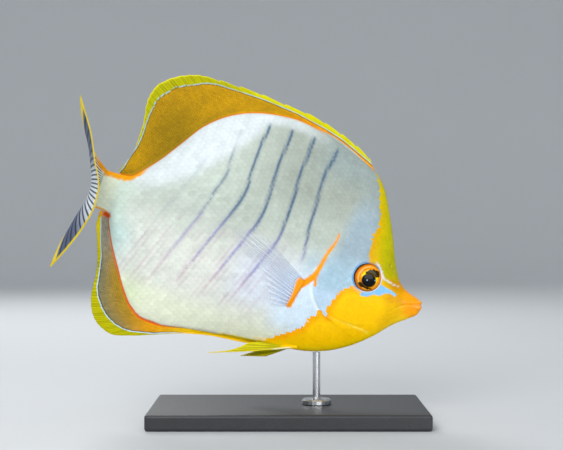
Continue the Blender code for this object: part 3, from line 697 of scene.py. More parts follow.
def skin_scales(name, side, plate, length, height, start, stop, keep, thick, slot, bend):
    x0, v = body_lattice(length, height, start, stop)
    jitter = rng.normal(0, PLACE_SPREAD, (2, len(x0)))
    x0, v = x0 + jitter[0] * length, v + jitter[1] * height
    x = x0 - bend * knee_back(x0, widest(x0) - v * 0.97)
    centre, _, good = on_skin(x, v)
    good &= keep(centre[:, 0], centre[:, 2])
    x0, v, x, centre = x0[good], v[good], x[good], centre[good]
    grow = rng.uniform(*GROWTH, len(x0))[:, None]
    slope = bend * (knee_back(x0, centre[:, 2] - 0.5) - knee_back(x0, centre[:, 2] + 0.5))[:, None]
    px = x[:, None] - plate.p * length * grow - slope * plate.q * height
    base, outward, fits = on_skin(px, v[:, None] + plate.q * height * grow)
    fits = fits.all(axis=1)
    base, outward, centre, v = base[fits], outward[fits], centre[fits], v[fits]
    thick = thick * (1 - 0.88 * step(128, 141, centre[:, :1]))
    rise = (plate.rise * thick * rng.uniform(*RISES, (len(v), 1)))[..., None]
    cx, cz = (np.broadcast_to(centre[:, k:k + 1], base.shape[:2]) for k in (0, 2))
    # each scale is darker toward its rim: painted shade for its relief
    shade = (1 + rng.normal(0, SHADE_SPREAD, (len(v), 1))) * (1.02 - EDGE_PAINTED_SHADE * plate.edge)
    tint = lit(body_tint(base[..., 0], base[..., 2], cx, cz), shade)
    top, under = (mirror(base + outward * out, side) for out in (rise, -UNDER_SUNK))
    lay_plates(name, plate, side, top, under, tint, centre[:, 0], v / GIRTH_CHARTED)


NAPE_FROM, EYE_MARGIN, NOSTRIL_MARGIN = 18, 0.9, 1.3


def zones(x, z):
    """Distance ahead of the gill edge, the collar's start there, and whether up the nape or on the breast."""
    high = z > NAPE_FROM
    collar = np.where(high, -5.5, -1.6 - 9 * step(6, -4, z))
    return from_line(gill_edge, x, z)[0], collar, high, (z < -17) & (x > 99 + 0.3 * (z + 13))


def on_trunk(x, z):
    ahead, collar, _, breast = zones(x, z)
    return (ahead < collar) & ~breast


def on_collar(x, z):
    ahead, collar, high, breast = zones(x, z)
    return (ahead >= collar) & (ahead < np.where(high, 2.5, 0.1)) & ~breast


def on_head(x, z):
    ahead, _, high, breast = zones(x, z)
    bare = (x > 141 - 0.12 * np.abs(z)) | (from_eye(x, z) <= EYE_RADIUS + EYE_MARGIN)
    nostril = np.min([np.hypot(x - nx, z - nz) for nx, nz, _ in NOSTRILS], axis=0) < NOSTRIL_MARGIN
    return (breast | (ahead > np.where(high, 2.5, 0.3))) & ~bare & ~nostril


# Scales of each region: plate, length, height, start, stop, where they lie, thickness, slot and bend
SCALE_REGIONS = {"body": (BODY_PLATE, SCALE_LENGTH, SCALE_HEIGHT, -1, 126, on_trunk, 0.5, "skin_white", 1),
                 "collar": (FINE_PLATE, 1.5, 1.4, 80, 126, on_collar, 0.5, "skin_white", 0),
                 "head": (BODY_PLATE, 1.08, 1.0, 84, 146, on_head, 0.4, "skin_yellow", 0)}
for word, side in SIDES:
    for region, sizes in SCALE_REGIONS.items():
        skin_scales(f"{region}_scales_{word}", side, *sizes)


# Fins: root x, tip x and tip z of rays in the back and belly fins, front to rear
CREST, WEB, RIM = 0.42, 0.2, 0.16
ROOT_SUNK, RAY_BOW, FORK_SPREAD, JOINT_DEPTH, ROW_CROWDING = 0.3, 0.04, 0.22, 0.12, 1.1
BACK_RAYS = ((112.3, 107.4, 54.4), (106, 98, 58.5), (97.5, 87.5, 61.7), (88, 76, 64.0), (77, 63, 64.7),
             (64, 49, 65.6), (53, 36, 65.4), (46, 26, 64.6), (40, 16.5, 61.2), (34, 7.7, 52.8),
             (28.5, 6.5, 46.1), (22.8, 8.1, 34.8), (17, 8.2, 25.6), (12.3, 6.7, 18.6), (6.6, 4.4, 12.5))
BELLY_RAYS = ((94, 91.5, -38.4), (84, 81.5, -40.6), (71, 66.5, -42.6), (62, 55, -45.6), (54, 44, -49.8),
              (47, 33.5, -53.9), (40.5, 25.2, -56.2), (35, 18.8, -54.4), (29.5, 13.9, -49.9),
              (24.4, 11, -42.6), (18.6, 9.6, -31.4), (12.6, 6.4, -21.4), (10.4, 4.6, -16.6),
              (8.2, 2.8, -11.6), (5.6, 2.5, -6.05))

# Tips of the tail fin's rays from below to above, and the points that bend them toward its right
TAIL_TIPS = ((-8.2, -13, -36), (-2.8, -19, -25), (1.1, -23, -14.5), (2.9, -25, -5.5), (2.5, -25.5, 1.8),
             (0.4, -25, 7.6), (-3.4, -23, 13.6), (-9.6, -17.5, 24.2), (-20.6, -10, 38.6))
TAIL_BENDS = ((-9.6, -1, -14), (-10.2, -2, -9), (-9.4, -2, -4), (-8.6, -2, -0.6), (-8.4, -2, 2.2),
              (-9, -2, 5.6), (-10.4, -2, 9.6), (-12.6, -1.5, 14.6), (-15, -1, 19.3))
TAIL_ROOT, TAIL_ROOT_LOW, TAIL_ROOT_HIGH = 0.4, -5.6, 11.2

# Rays of the paired fins: root x and z, tip x and z, then root x and y and tip x, y and z
BREAST_RAYS = ((97.6, -5.8, 74.6, 7.4), (97.4, -6.6, 64.5, 7.2), (97.1, -8, 61, 3.9), (96.7, -9.6, 65.8, 0.4),
               (96.2, -11.6, 72.4, -2.8), (95.6, -13.8, 78.6, -8.6), (94.9, -16, 82.4, -14.6),
               (94.1, -18.2, 86.4, -20.2))
BREAST_ROOT, BREAST_SPREAD = 0.1, 0.19
RIGHT_PELVIC_RAYS = (
    (104.2, 4.4, 88.4, 6.8, -41.4), (103.4, 4.2, 68.3, 6.4, -49.2), (102.6, 4, 76.5, 5.4, -45.4),
    (101.8, 3.8, 80.5, 4.8, -42.4), (101, 3.6, 83.2, 4.6, -39.9), (100.2, 3.4, 87, 4.0, -38.0))
LEFT_PELVIC_RAYS = (
    (104.2, 4.4, 92.5, 11, -44.4), (103.4, 4.2, 82, 18, -48.4), (102.6, 4, 84.2, 14, -46.4),
    (101.8, 3.8, 86.4, 10.5, -44.4), (101, 3.6, 88.6, 7.6, -42.3), (100.2, 3.4, 90.6, 5.4, -40.3))
PELVIC_ROOT, PELVIC_SUNK = 0.8, 0.7


def keyed(keys):
    """A smooth function of the share passed for each column of the keys."""
    shares = np.linspace(0, 1, len(keys))
    return [smooth(list(zip(shares, column))) for column in zip(*keys)]


def median_path(line, outward, keys, notch):
    """The middle surface of the back fin (outward 1) or the belly fin (-1) over this outline."""
    root_x, tip_x, tip_z = keyed(keys)

    def path(across, along):
        x = root_x(across)
        slope = line(x + 0.5) - line(x - 0.5)
        length = np.hypot(slope, 1)
        foot_x, foot_z = x + outward * slope / length * ROOT_SUNK, line(x) - outward / length * ROOT_SUNK
        run, climb = tip_x(across) - foot_x, tip_z(across) - foot_z
        along = along * (1 - notch(across) / np.hypot(run, climb))
        bow = RAY_BOW * along * (1 - along) * 4
        return np.stack((foot_x + run * along - bow * climb, 0 * along,
                         foot_z + climb * along + bow * run), axis=-1)

    return path


def tail_path(across, along):
    bend, tip = (np.stack([curve(across) for curve in keyed(keys)], axis=-1)
                 for keys in (TAIL_BENDS, TAIL_TIPS))
    root = np.stack((np.full(np.shape(across), TAIL_ROOT), 0 * across,
                     TAIL_ROOT_LOW + (TAIL_ROOT_HIGH - TAIL_ROOT_LOW) * across), axis=-1)
    along = along[..., None]
    return root * (1 - along) ** 2 + 2 * bend * along * (1 - along) + tip * along ** 2


def steepness(x, z):
    """How much longer the surface is here than its side view."""
    reach = 0.2
    dx = (half_width(x + reach, z) - half_width(x - reach, z)) / (2 * reach)
    dz = (half_width(x, z + reach) - half_width(x, z - reach)) / (2 * reach)
    return np.sqrt(1 + dx * dx + dz * dz)


def breast_path(side):
    root_x, root_z, tip_x, tip_z = keyed(BREAST_RAYS)

    def path(across, along):
        run, climb = (tip_x(across) - root_x(across)) * along, (tip_z(across) - root_z(across)) * along
        x, z, length = root_x(across) + run, root_z(across) + climb, np.hypot(run, climb)
        spread = BREAST_SPREAD * length ** 1.5 / (length + 6) ** 0.5
        gap = (GAP + BREAST_ROOT) * (0.25 + 0.75 * step(0, 0.16, along)) * steepness(x, z)
        return np.stack((x, side * (half_width(x, z) + gap + spread), z), axis=-1)

    return path


def belly_height(x, y):
    narrow = np.clip((y - ridge(x)) / (girth(x) - ridge(x)), 0, 1) ** (1 / BELLY_FULLNESS)
    return widest(x) + np.sqrt(1 - narrow) * (belly_line(x) - widest(x))


def pelvic_path(side, rays):
    root_x, root_y, tip_x, tip_y, tip_z = keyed(rays)

    def path(across, along):
        x, y = root_x(across), root_y(across)
        z = belly_height(x, y - PELVIC_ROOT) + PELVIC_SUNK
        return np.stack((x + (tip_x(across) - x) * along, side * (y + (tip_y(across) - y) * along),
                         z + (tip_z(across) - z) * along), axis=-1)

    return path


def fin_piece(name, node, path, rays, per_ray, rows, root, sheath, paint, finish,
              crest=CREST, web=WEB, split=0.45, ridge_width=0.17):
    """A fin as one closed sheet with branching rays, whose root's half thickness fades over the sheath."""
    across = np.linspace(0, 1, (rays - 1) * per_ray + 1)[None, :]
    along = np.linspace(0, 1, rows)[:, None] ** ROW_CROWDING
    across, along = (np.array(part) for part in np.broadcast_arrays(across, along))
    middle = path(across, along)
    normal = unit(np.cross(np.gradient(middle, axis=1), np.gradient(middle, axis=0)))
    phase = across * (rays - 1)
    fork = FORK_SPREAD * np.clip((along - split) / (1 - split), 0, 1)
    ray = hump(np.abs(phase - np.round(phase)), fork, ridge_width)
    joints = 1 - JOINT_DEPTH * (0.5 + 0.5 * np.cos(along * rows * 0.9)) * step(0.2, 0.5, along)
    blade = web + (crest - web) * ray * joints
    blade = blade + (RIM - blade) * along ** 3
    half = blade + (root - blade) * np.clip(1 - along / sheath, 0, 1) ** 1.5
    faces = np.stack((middle + normal * half[..., None], middle - normal * half[..., None]))
    tint = paint(middle[..., 0], middle[..., 2], across, along, ray)
    made = make_piece(name, faces, closed_sheet(*across.shape), np.stack((tint, tint)), finish)
    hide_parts(node)
    return middle, half


DORSAL_COUNT, ANAL_COUNT, TAIL_COUNT = 37, 25, 25
SPINES_TO, SPINE_NOTCH, FRAY = 0.45, 1.35, 0.25


def spine_notch(across):
    """How far the web between two spines stays below their tips."""
    passed = across * (DORSAL_COUNT - 1) / 2
    share = passed - np.floor(passed)
    spiny = step(SPINES_TO + 0.03, SPINES_TO, across)
    return SPINE_NOTCH * (1 - share) ** 1.4 * step(0.0, 0.08, share) * spiny


def fringe(across):
    """The slightly frayed edge of the soft rays."""
    return FRAY * waves(across * (DORSAL_COUNT - 1)) * step(0.4, 0.5, across)


FIN_OCHRE, FIN_ORANGE, FIN_BROWN = rgb(192, 146, 0), rgb(230, 156, 0), rgb(142, 114, 0)
BAND_GREEN, BAND_YELLOW, BAND_BRIGHT = rgb(112, 114, 0), rgb(188, 184, 0), rgb(212, 206, 0)
FIN_DUSK, RIM_PALE, BASE_PALE = rgb(122, 104, 0), rgb(232, 222, 40), rgb(166, 178, 176)
FIN_BLACK, FIN_BLUE, ANAL_BLUE = rgb(26, 32, 36), rgb(146, 192, 214), rgb(190, 220, 244)
ANAL_DARK, ANAL_GREY = rgb(126, 121, 88), rgb(172, 170, 152)
ANAL_OCHRE, ANAL_ORANGE = rgb(178, 138, 4), rgb(236, 164, 0)
LOBE_GREEN, LOBE_YELLOW, LOBE_BRIGHT = rgb(140, 138, 0), rgb(196, 190, 0), rgb(236, 216, 0)
TAIL_BLACK, TAIL_SLATE = rgb(10, 16, 26), rgb(38, 46, 66)
TAIL_WHITE, TAIL_BLUE = rgb(226, 234, 242), rgb(84, 96, 126)
TAIL_PALE, LEAD_YELLOW, RIM_YELLOW = rgb(222, 228, 202), rgb(236, 208, 0), rgb(222, 196, 0)
WEB_LILAC, RAY_WHITE = rgb(190, 204, 232), rgb(240, 244, 250)
WEB_DUSK, WEB_GREY = rgb(112, 116, 130), rgb(120, 122, 130)
PELVIC_OLIVE, PELVIC_YELLOW = rgb(160, 156, 0), rgb(216, 204, 0)
PELVIC_PALE, PELVIC_RIM = rgb(236, 232, 196), rgb(226, 206, 0)


def dorsal_tint(x, z, across, along, ray):
    beyond = from_line(DORSAL_LINE, x, z)[0]
    above = z - back_line(x)
    base = above - 0.8 * step(78, 90, x) * step(107, 98, x)
    inner = layered(
        FIN_OCHRE,
        (FIN_ORANGE, step(60, 85, x)),
        (FIN_BROWN, 0.9 * spot(x, z, 22, 35, 13, 17)),
        (FIN_DUSK, 0.5 * step(5, 0.5, above) * step(48, 34, x)))
    outer = layered(
        BAND_GREEN,
        (BAND_YELLOW, 0.2 + 0.25 * ray + 0.55 * waves(across * (DORSAL_COUNT - 1) * 4)),
        (BAND_BRIGHT, 0.7 * step(34, 60, x)),
        (RIM_PALE, step(0.97, 1.0, along)))
    broken = 1 - 0.5 * step(0.2, 0.8, ripple(x, z, 6, 24)) * step(20, 40, x)
    return layered(
        lit(inner, 1 + 0.05 * ripple(x, z, 7, 21)),
        (SHADE, 0.12 * (1 - ray) * step(0.2, 0.6, along)),
        (EDGE_RED, 0.45 * step(0.55, 0.15, base) * step(112, 60, x)),
        (BASE_PALE, step(76, 88, x) * step(109, 105, x) * step(0.1, -0.1, base)),
        (outer, step(0.1, 0.35, beyond)),
        (FIN_BLACK, 0.6 * step(0.26, 0.1, np.abs(beyond + 0.08))),
        (FIN_BLUE, 0.9 * broken * step(0.24, 0.1, np.abs(beyond - 0.3))))


def anal_tint(x, z, across, along, ray):
    beyond = -from_line(ANAL_LINE, x, z)[0]
    inner = layered(
        ANAL_DARK,
        (ANAL_GREY, step(-34, -14, z)),
        (ANAL_OCHRE, 0.85 * step(0.8, 0.1, along) * (0.15 + 0.85 * step(-14, -32, z))),
        (ANAL_ORANGE, step(26, 44, x)))
    outer = layered(
        LOBE_GREEN,
        (LOBE_YELLOW, 0.3 * ray + 0.7 * waves(across * (ANAL_COUNT - 1) * 4)),
        (LOBE_BRIGHT, step(-30, -14, z) * step(30, 20, x)))
    shown = step(60, 46, x) * step(-8.4, -9.6, z)
    return layered(
        lit(inner, 1 + 0.05 * ripple(x, z, 6, 31)),
        (SHADE, 0.12 * (1 - ray)),
        (EDGE_RED, 0.85 * step(-0.95, -0.4, z - belly_line(x)) * step(64, 54, x)),
        (EDGE_YELLOW, 0.9 * step(40, 54, x)),
        (outer, step(0.1, 0.35, beyond)),
        (EDGE_YELLOW, step(46, 58, x)),
        (EDGE_ORANGE, spot(x, z, 2.9, -7.6, 1.3, 1.6)),
        (EDGE_RED, red_spot(x, z)),
        (FIN_BLACK, 0.8 * shown * step(0.28, 0.12, np.abs(beyond + 0.1)) * step(6, 12, x)),
        (ANAL_BLUE, shown * step(0.25, 0.1, np.abs(beyond - 0.24))))


def with_alpha(tint, alpha):
    return np.concatenate((tint, np.broadcast_to(alpha, tint.shape[:-1])[..., None]), axis=-1)


def tail_tint(x, z, across, along, ray):
    lobe = step(0.25, 0.7, np.abs(across - 0.5) * 2) * step(0.25, 0.6, along)
    stripe = step(0.25, 0.75, 0.5 * waves(across * (TAIL_COUNT - 1)) + 0.5 * ray)
    lead = np.minimum(across, 1 - across)
    lead_width = 0.018 + 0.013 * step(0.3, 0.6, along)
    margin = 0.968
    tint = layered(
        TAIL_BLACK,
        (TAIL_SLATE, step(0.3, 0.9, along)),
        (layered(TAIL_WHITE, (TAIL_BLUE, lobe)), stripe))
    tint = layered(
        lit(tint, 1 + 0.08 * ripple(x * 2, z, 5, 51)),
        (TAIL_PALE, 0.95 * step(0.17, 0.07, along)),
        (LEAD_YELLOW, step(lead_width + 0.012, lead_width, lead)),
        (EDGE_ORANGE, step(0.16, 0.08, lead) * step(0.34, 0.16, along) * step(0.4, 0.6, across)),
        (RIM_YELLOW, step(margin, margin + 0.016, along)))
    edge = np.maximum(step(lead_width + 0.022, lead_width + 0.007, lead),
                      step(margin - 0.022, margin + 0.003, along))
    return with_alpha(tint, np.maximum(np.clip(0.72 + 0.28 * ray + edge, 0, 1), step(0.25, 0.08, along)))


def breast_tint(x, z, across, along, ray):
    upper = step(0.7, 0.3, across)
    dusk = step(0.9, 0.5, np.abs(ray - 0.3) * 3) * step(0.05, 0.2, along) * upper
    fade = step(1.0, 0.7, along)
    base = np.abs(along - 0.02)
    tint = layered(
        WEB_LILAC,
        (RAY_WHITE, ray),
        (WEB_DUSK, 0.85 * dusk),
        (WEB_GREY, 0.6 * step(0.02, 0.0, across)),
        (STRIPE_ORANGE, step(0.075, 0.05, base)))
    alpha = 0.04 + (0.24 + 0.3 * (1 - upper)) * ray ** 2 * fade + 0.22 * dusk * fade
    alpha = alpha + (0.12 + 0.22 * (1 - upper)) * step(0.75, 0.1, along)
    root = step(0.09, 0.06, base) * step(0.02, 0.12, across)
    return with_alpha(tint, np.clip(np.maximum(alpha, root), 0, 1))


def pelvic_tint(streak):
    """The tint of a pelvic fin whose front edge has a pale streak of this strength."""
    def paint(x, z, across, along, ray):
        pale = step(0.12, 0.07, across) * step(0.14, 0.2, along) * step(0.7, 0.55, along)
        return with_alpha(layered(
            PELVIC_OLIVE,
            (PELVIC_YELLOW, ray),
            (PELVIC_PALE, streak * pale),
            (PELVIC_RIM, step(0.94, 0.98, along)),
            (HEAD_YELLOW, 0.9 * step(0.26, 0.1, along))), 1.0)

    return paint


# Each fin: its rays, steps a ray, rows from root to edge, half thickness of the root and share of its sheath
dorsal = fin_piece("dorsal_fin_blade", "dorsal_fin",
                   median_path(back_line, 1, BACK_RAYS, lambda a: spine_notch(a) + fringe(a)),
                   DORSAL_COUNT, 14, 60, 1.3, 0.5, dorsal_tint, fin_finish)
anal = fin_piece("anal_fin_blade", "anal_fin",
                 median_path(belly_line, -1, BELLY_RAYS, lambda a: 0.5 * fringe(a)),
                 ANAL_COUNT, 14, 54, 1.3, 0.5, anal_tint, fin_finish)
fin_piece("tail_fin_blade", "caudal_fin", tail_path, TAIL_COUNT, 12, 90, 2.0, 0.2, tail_tint, sheer_finish,
          crest=0.3, web=0.14, split=0.55, ridge_width=0.26)
for word, side in SIDES:
    fin_piece(f"pectoral_fin_{word}_blade", f"pectoral_fin_{word}", breast_path(side), 15, 12, 60, 0.26, 0.2,
              breast_tint, sheer_finish, crest=0.17, web=0.07, split=0.6, ridge_width=0.13)
for word, side, rays, streak in (("right", -1, RIGHT_PELVIC_RAYS, 0.75), ("left", 1, LEFT_PELVIC_RAYS, 0)):
    fin_piece(f"pelvic_fin_{word}_blade", f"pelvic_fin_{word}", pelvic_path(side, rays), 6, 12, 50,
              PELVIC_ROOT, 0.3, pelvic_tint(streak), sheer_finish)


FIN_PLATE_THICK, FIN_PLATE_LOW, FIN_PLATE_SUNK = 0.55, 0.02, 0.08
FIN_SHADE_SPREAD, FIN_EDGE_PAINTED_SHADE = 0.07, 0.36


def fin_scales(name, side, shape, limit, length, height, tint_of):
    """Small scales in rows over the inner part of the back or belly fin."""
    middle, half = shape
    rows, wide = half.shape
    cols = np.arange(wide)
    reach = passed_along(middle)
    found = []
    for level in np.arange(0.5, reach.max(), length):
        tall = reach[-1] > level + 0.3
        if tall.sum() < 8:
            continue
        ids = np.array([np.interp(level, reach[:, c], np.arange(rows)) for c in cols])
        low = np.clip(np.floor(ids).astype(int), 0, rows - 2)
        part = ids - low
        line = middle[low, cols] * (1 - part)[:, None] + middle[low + 1, cols] * part[:, None]
        deep = half[low, cols] * (1 - part) + half[low + 1, cols] * part
        away = unit(middle[low + 1, cols] - middle[low, cols])
        run = passed_along(line)
        offset = height * (0.5 if round(level / length) % 2 else 0.0)
        for c in np.interp(np.arange(offset + 0.5, run[-1] - 0.4, height), run, cols):
            k = min(int(c), wide - 2)
            if tall[k] and tall[k + 1]:
                centre = line[k] * (1 - (c - k)) + line[k + 1] * (c - k)
                back = line[k + 1] - line[k]
                found.append((centre, away[k], back, deep[k], k / (wide - 1), level / reach[-1, k]))
    found = [np.array(column) for column in zip(*found)]
    keep = limit(found[0][:, 0], found[0][:, 2])
    centres, outs, backs, deep, across, along = (column[keep] for column in found)
    plate = SMALL_PLATE
    flat = (centres[:, None] + outs[:, None] * (plate.p * length)[None, :, None]
            + unit(backs)[:, None] * (plate.q * height)[None, :, None])
    top, under = flat.copy(), flat.copy()
    top[..., 1] = side * (deep[:, None] + plate.rise * FIN_PLATE_THICK - FIN_PLATE_LOW)
    under[..., 1] = side * (deep[:, None] - FIN_PLATE_SUNK)
    across, along = (np.broadcast_to(share[:, None], flat.shape[:2]) for share in (across, along))
    tint = tint_of(flat[..., 0], flat[..., 2], across, along, np.full(along.shape, 0.9))
    # the fin scales are darker toward their rims: painted shade for their relief
    shade = (1 + rng.normal(0, FIN_SHADE_SPREAD, (len(flat), 1))) * (1.1 - FIN_EDGE_PAINTED_SHADE * plate.edge)
    tint = lit(tint, shade)
    lay_plates(name, plate, side, top, under, tint, centres[:, 0], centres[:, 2] / FIN_CHARTED)


def dorsal_zone(x, z):
    return (from_line(DORSAL_LINE, x, z)[0] < -0.75) & (z > back_line(x) + 0.35)


def anal_zone(x, z):
    return (-from_line(ANAL_LINE, x, z)[0] < -0.75) & (z < belly_line(x) - 0.35) & (x < 58) & (z < -8.5)


for word, side in SIDES:
    fin_scales(f"dorsal_scales_{word}", side, dorsal, dorsal_zone, 1.0, 0.92, dorsal_tint)
    fin_scales(f"anal_scales_{word}", side, anal, anal_zone, 0.95, 0.85, anal_tint)


# Eyes: a flattened ball turned a little forward, its colours laid out round the pupil
PUPIL_CENTRE, PUPIL_SIZE = (-0.4, -1.0), (3.0, 2.65)
GLINTS = ((-1.3, -0.7), (2.4, -0.95))
IRIS_SUNK, PUPIL_RISE = 0.1, 0.45
IRIS_ORANGE, IRIS_YELLOW, IRIS_PALE = rgb(240, 152, 0), rgb(255, 212, 0), rgb(255, 206, 130)
IRIS_DARK, IRIS_EDGE, IRIS_BLACK = rgb(214, 112, 0), rgb(250, 140, 20), rgb(18, 14, 0)
PUPIL_RING, PUPIL_BLACK = rgb(104, 70, 0), rgb(2, 3, 8)
GLINT_BLUE, SOCKET_PAINTED_SHADE = rgb(190, 214, 240), rgb(18, 24, 34)
RIM_BLUE, RIM_WHITE = rgb(110, 160, 210), rgb(232, 232, 244)
RIM_DARK, RIM_GOLD = rgb(40, 50, 70), rgb(214, 150, 30)


def from_pupil(a, b):
    """Distance from the pupil's centre, which is 1 at its edge."""
    return np.hypot((a - PUPIL_CENTRE[0]) / PUPIL_SIZE[0], (b - PUPIL_CENTRE[1]) / PUPIL_SIZE[1])


def eye_tint(a, b):
    """The eye's colour a mm forward and b mm above its centre."""
    r, turn = np.hypot(a, b), np.arctan2(b, a)
    rearward = step(0.3, -0.5, np.cos(turn))
    iris = layered(
        IRIS_ORANGE,
        (IRIS_YELLOW, step(3.9, 3.5, r)),
        (IRIS_PALE, 0.75 * hump(r, 4.9, 0.2) * rearward),
        (IRIS_DARK, 0.7 * hump(r, 4.35, 0.3) * rearward),
        (IRIS_EDGE, step(5.0, 5.5, r) * rearward))
    right, up = a * PITCH_COS + b * PITCH_SIN, b * PITCH_COS - a * PITCH_SIN
    patch = 1.5 * spot(right, up, 1.1, 2.1, 3.1, 1.75) + 0.5 * spot(right, up, 3.9, 1.3, 1.1, 1.3)
    patch = patch + 0.85 * spot(a, b, -2.9, -3.4, 1.3, 1.0) + 0.9 * spot(a, b, 0.2, -4.3, 3.4, 0.75)
    ragged = 0.09 * np.sin(turn * 13 + 2) + 0.07 * np.sin(a * 4 + b * 3)
    round_pupil = np.arctan2(b - PUPIL_CENTRE[1], a - PUPIL_CENTRE[0])
    away = from_pupil(a, b) / (1 + 0.08 * np.cos(round_pupil))
    return layered(
        lit(iris, 1 + 0.07 * np.sin(turn * 34 + 3 * np.sin(r * 3)) * step(5.4, 3, r)),
        (IRIS_BLACK, 0.97 * step(0.4, 0.75, patch + ragged * step(0.1, 0.5, patch))),
        (PUPIL_RING, step(1.18, 1.06, away)),
        (PUPIL_BLACK, step(1.06, 1.0, away)),
        *((GLINT_BLUE, 0.8 * step(0.42, 0.12, np.hypot(right - place, up - height)))
          for place, height in GLINTS),
        # painted shade on the eyeball's rim, where it dips into the socket
        (SOCKET_PAINTED_SHADE, step(5.95, 6.1, r)))


def eye_piece(word, side):
    rows, around = 90, 180
    down = np.linspace(0.002, math.pi - 0.002, rows)[:, None]
    turn = circle(around)[None, :]
    a = EYE_RADIUS * np.sin(down) * np.cos(turn)
    b = EYE_RADIUS * np.sin(down) * np.sin(turn)
    pupil = from_pupil(a, b)
    bulge = EYE_DEPTH * np.sqrt(np.clip(1 - np.sin(down) ** 5, 0, 1))
    out = np.where(down < math.pi / 2, bulge, -bulge) + 0 * turn
    out = out - IRIS_SUNK * step(1.0, 1.25, pupil) * step(5.6, 4.8, np.hypot(a, b)) * (out > 0)
    out = out + PUPIL_RISE * np.clip(1 - (pupil / 1.3) ** 2, 0, 1) * (out > 0)
    x, z = EYE_CENTRE
    y = float(half_width(np.array(x), np.array(z))) - EYE_INSET
    cos, sin = math.cos(EYE_TURN), math.sin(EYE_TURN)
    points = np.stack((x + a * cos + out * sin, side * (y - a * sin + out * cos), z + b), axis=-1)
    made = make_piece(f"eyeball_{word}", points, ring_faces(rows, around), eye_tint(a, b), eye_finish)
    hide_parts(f"eye_{word}")


ORBIT_GAP, ORBIT_TUBE, ORBIT_WAVE, ORBIT_OUT = 0.16, 0.26, 0.04, 0.08


def orbit_piece(word, side):
    """The soft rim of skin round the eye."""
    around, sides = 160, 14
    turn, ring = circle(around)[:, None], circle(sides)[None, :]
    radius = EYE_RADIUS + ORBIT_GAP
    tube = ORBIT_TUBE + ORBIT_WAVE * np.sin(turn * 2 + 0.6)
    wide = radius + tube * np.cos(ring)
    x, z = EYE_CENTRE[0] + radius * np.cos(turn), EYE_CENTRE[1] + radius * np.sin(turn)
    y = half_width(x, z) + ORBIT_OUT
    points = np.stack((EYE_CENTRE[0] + wide * np.cos(turn), side * (y + 0.8 * tube * np.sin(ring)),
                       EYE_CENTRE[1] + wide * np.sin(turn)), axis=-1)
    degrees = np.degrees(turn + 0 * ring) % 360
    tint = layered(
        RIM_BLUE,
        (RIM_WHITE, np.clip(step(235, 265, degrees) + step(62, 36, degrees), 0, 1)),
        (RIM_DARK, 0.45 * step(-0.2, -0.9, np.cos(ring) + 0 * turn)),
        (RIM_GOLD, 0.7 * step(60, 75, degrees) * step(112, 98, degrees)))
    faces = ring_faces(around, sides, closed=True)
    make_piece(f"eye_rim_{word}", points, faces, tint, skin_finish)


LIP_PINK_HIGHLIGHT = rgb(246, 170, 160)
LIP_CORNER, LIP_BEND, LIP_STEPS = 144.2, 0.7, 18


def lip_piece(word, corner_level, front_level, tall, wide, front):
    """One lip, a soft roll round the snout that thins toward the corner of the mouth."""
    along, sides = 100, 20
    bend = front - wide - LIP_BEND
    tip = np.linspace(0.15, math.pi / 2, 10)
    x = np.concatenate((np.linspace(LIP_CORNER, bend, LIP_STEPS), bend + LIP_BEND * np.sin(tip)))
    z = corner_level + (front_level - corner_level) * step(LIP_CORNER, 149, x)
    y = half_width(x, z) - 0.7 * wide
    y[LIP_STEPS:] = y[LIP_STEPS - 1] * np.cos(tip)
    half = np.stack((x, -y, z), axis=-1)
    line = np.vstack((half, mirror(half[-2::-1], -1)))
    run = passed_along(line)
    share = np.linspace(0, 1, along)
    line = np.stack([np.interp(share * run[-1], run, line[:, k]) for k in range(3)], axis=-1)
    tangent = unit(np.gradient(line, axis=0))
    out = np.stack((tangent[:, 1], -tangent[:, 0], 0 * share), axis=-1)
    swell = np.sin(math.pi * np.clip(share, 0.003, 0.997)) ** 0.45
    ring = circle(sides)
    points = (line[:, None] + swell[:, None, None]
              * (out[:, None] * (wide * np.cos(ring))[None, :, None]
                 + np.array((0, 0, 1)) * (tall * np.sin(ring))[None, :, None]))
    # a pink painted highlight along the side of each lip that faces the mouth
    near_mouth = np.clip(-np.sin(ring) * np.sign(front_level), 0, 1)[None, :] * swell[:, None]
    tint = layered(LIP_ORANGE, (LIP_PINK_HIGHLIGHT, 0.4 * near_mouth ** 3))
    tint = lit(tint, 1 + 0.03 * ripple(points[..., 0] * 2, points[..., 2] * 2, 1.5, 41))
    make_piece(f"{word}_lip", points, ring_faces(along, sides), tint, lip_finish)


for word, side in SIDES:
    eye_piece(word, side)
    orbit_piece(word, side)
lip_piece("upper", -0.1, 1.12, 0.75, 0.9, 149.95)
lip_piece("lower", -1.5, -1.15, 1.5, 1.1, 150.45)


def stand_finish(name, colour, roughness, metallic, grain, stretch):
    """Satin paint or brushed metal, with streaks where its grain is stretched."""
    made = Finish(name)
    place = made.add("TexCoord").outputs["Object"]
    squeezed = made.add("Mapping", Vector=place, Scale=stretch).outputs["Vector"]
    noise = made.add("TexNoise", Vector=squeezed, Scale=grain, Detail=5).outputs["Fac"]
    shades = made.ramp(noise, (0.3, 0.7), ([c * 0.85 for c in colour], [min(1, c * 1.15) for c in colour]))
    rough = made.add("MapRange", Value=noise, To_Min=roughness * 0.8, To_Max=roughness * 1.3)
    height = made.add("Bump", Strength=0.12, Distance=0.0001, Height=noise)
    made.feed(made.shader, Base_Color=shades, Roughness=rough.outputs["Result"],
              Normal=height.outputs["Normal"], Metallic=metallic)
    return made.material


# Stand: the name, colour, roughness, metal, grain and stretch of each node's finish
STAND = {"stand_base": ("satin black paint", (0.022, 0.023, 0.026), 0.38, 0.0, 1400, (1, 1, 1)),
         "stand_rod": ("brushed steel", (0.52, 0.53, 0.55), 0.26, 1.0, 900, (6, 6, 0.4))}
for node, look in STAND.items():
    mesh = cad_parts[node].data
    mesh.materials.clear()
    mesh.materials.append(stand_finish(*look))


# Studio: one seamless pale bowl, soft lights and a pale sky
FLOOR_RADIUS, WALL_BEND, WALL_STEPS, FLOOR_SPOKES = 1.5, 0.7, 16, 96


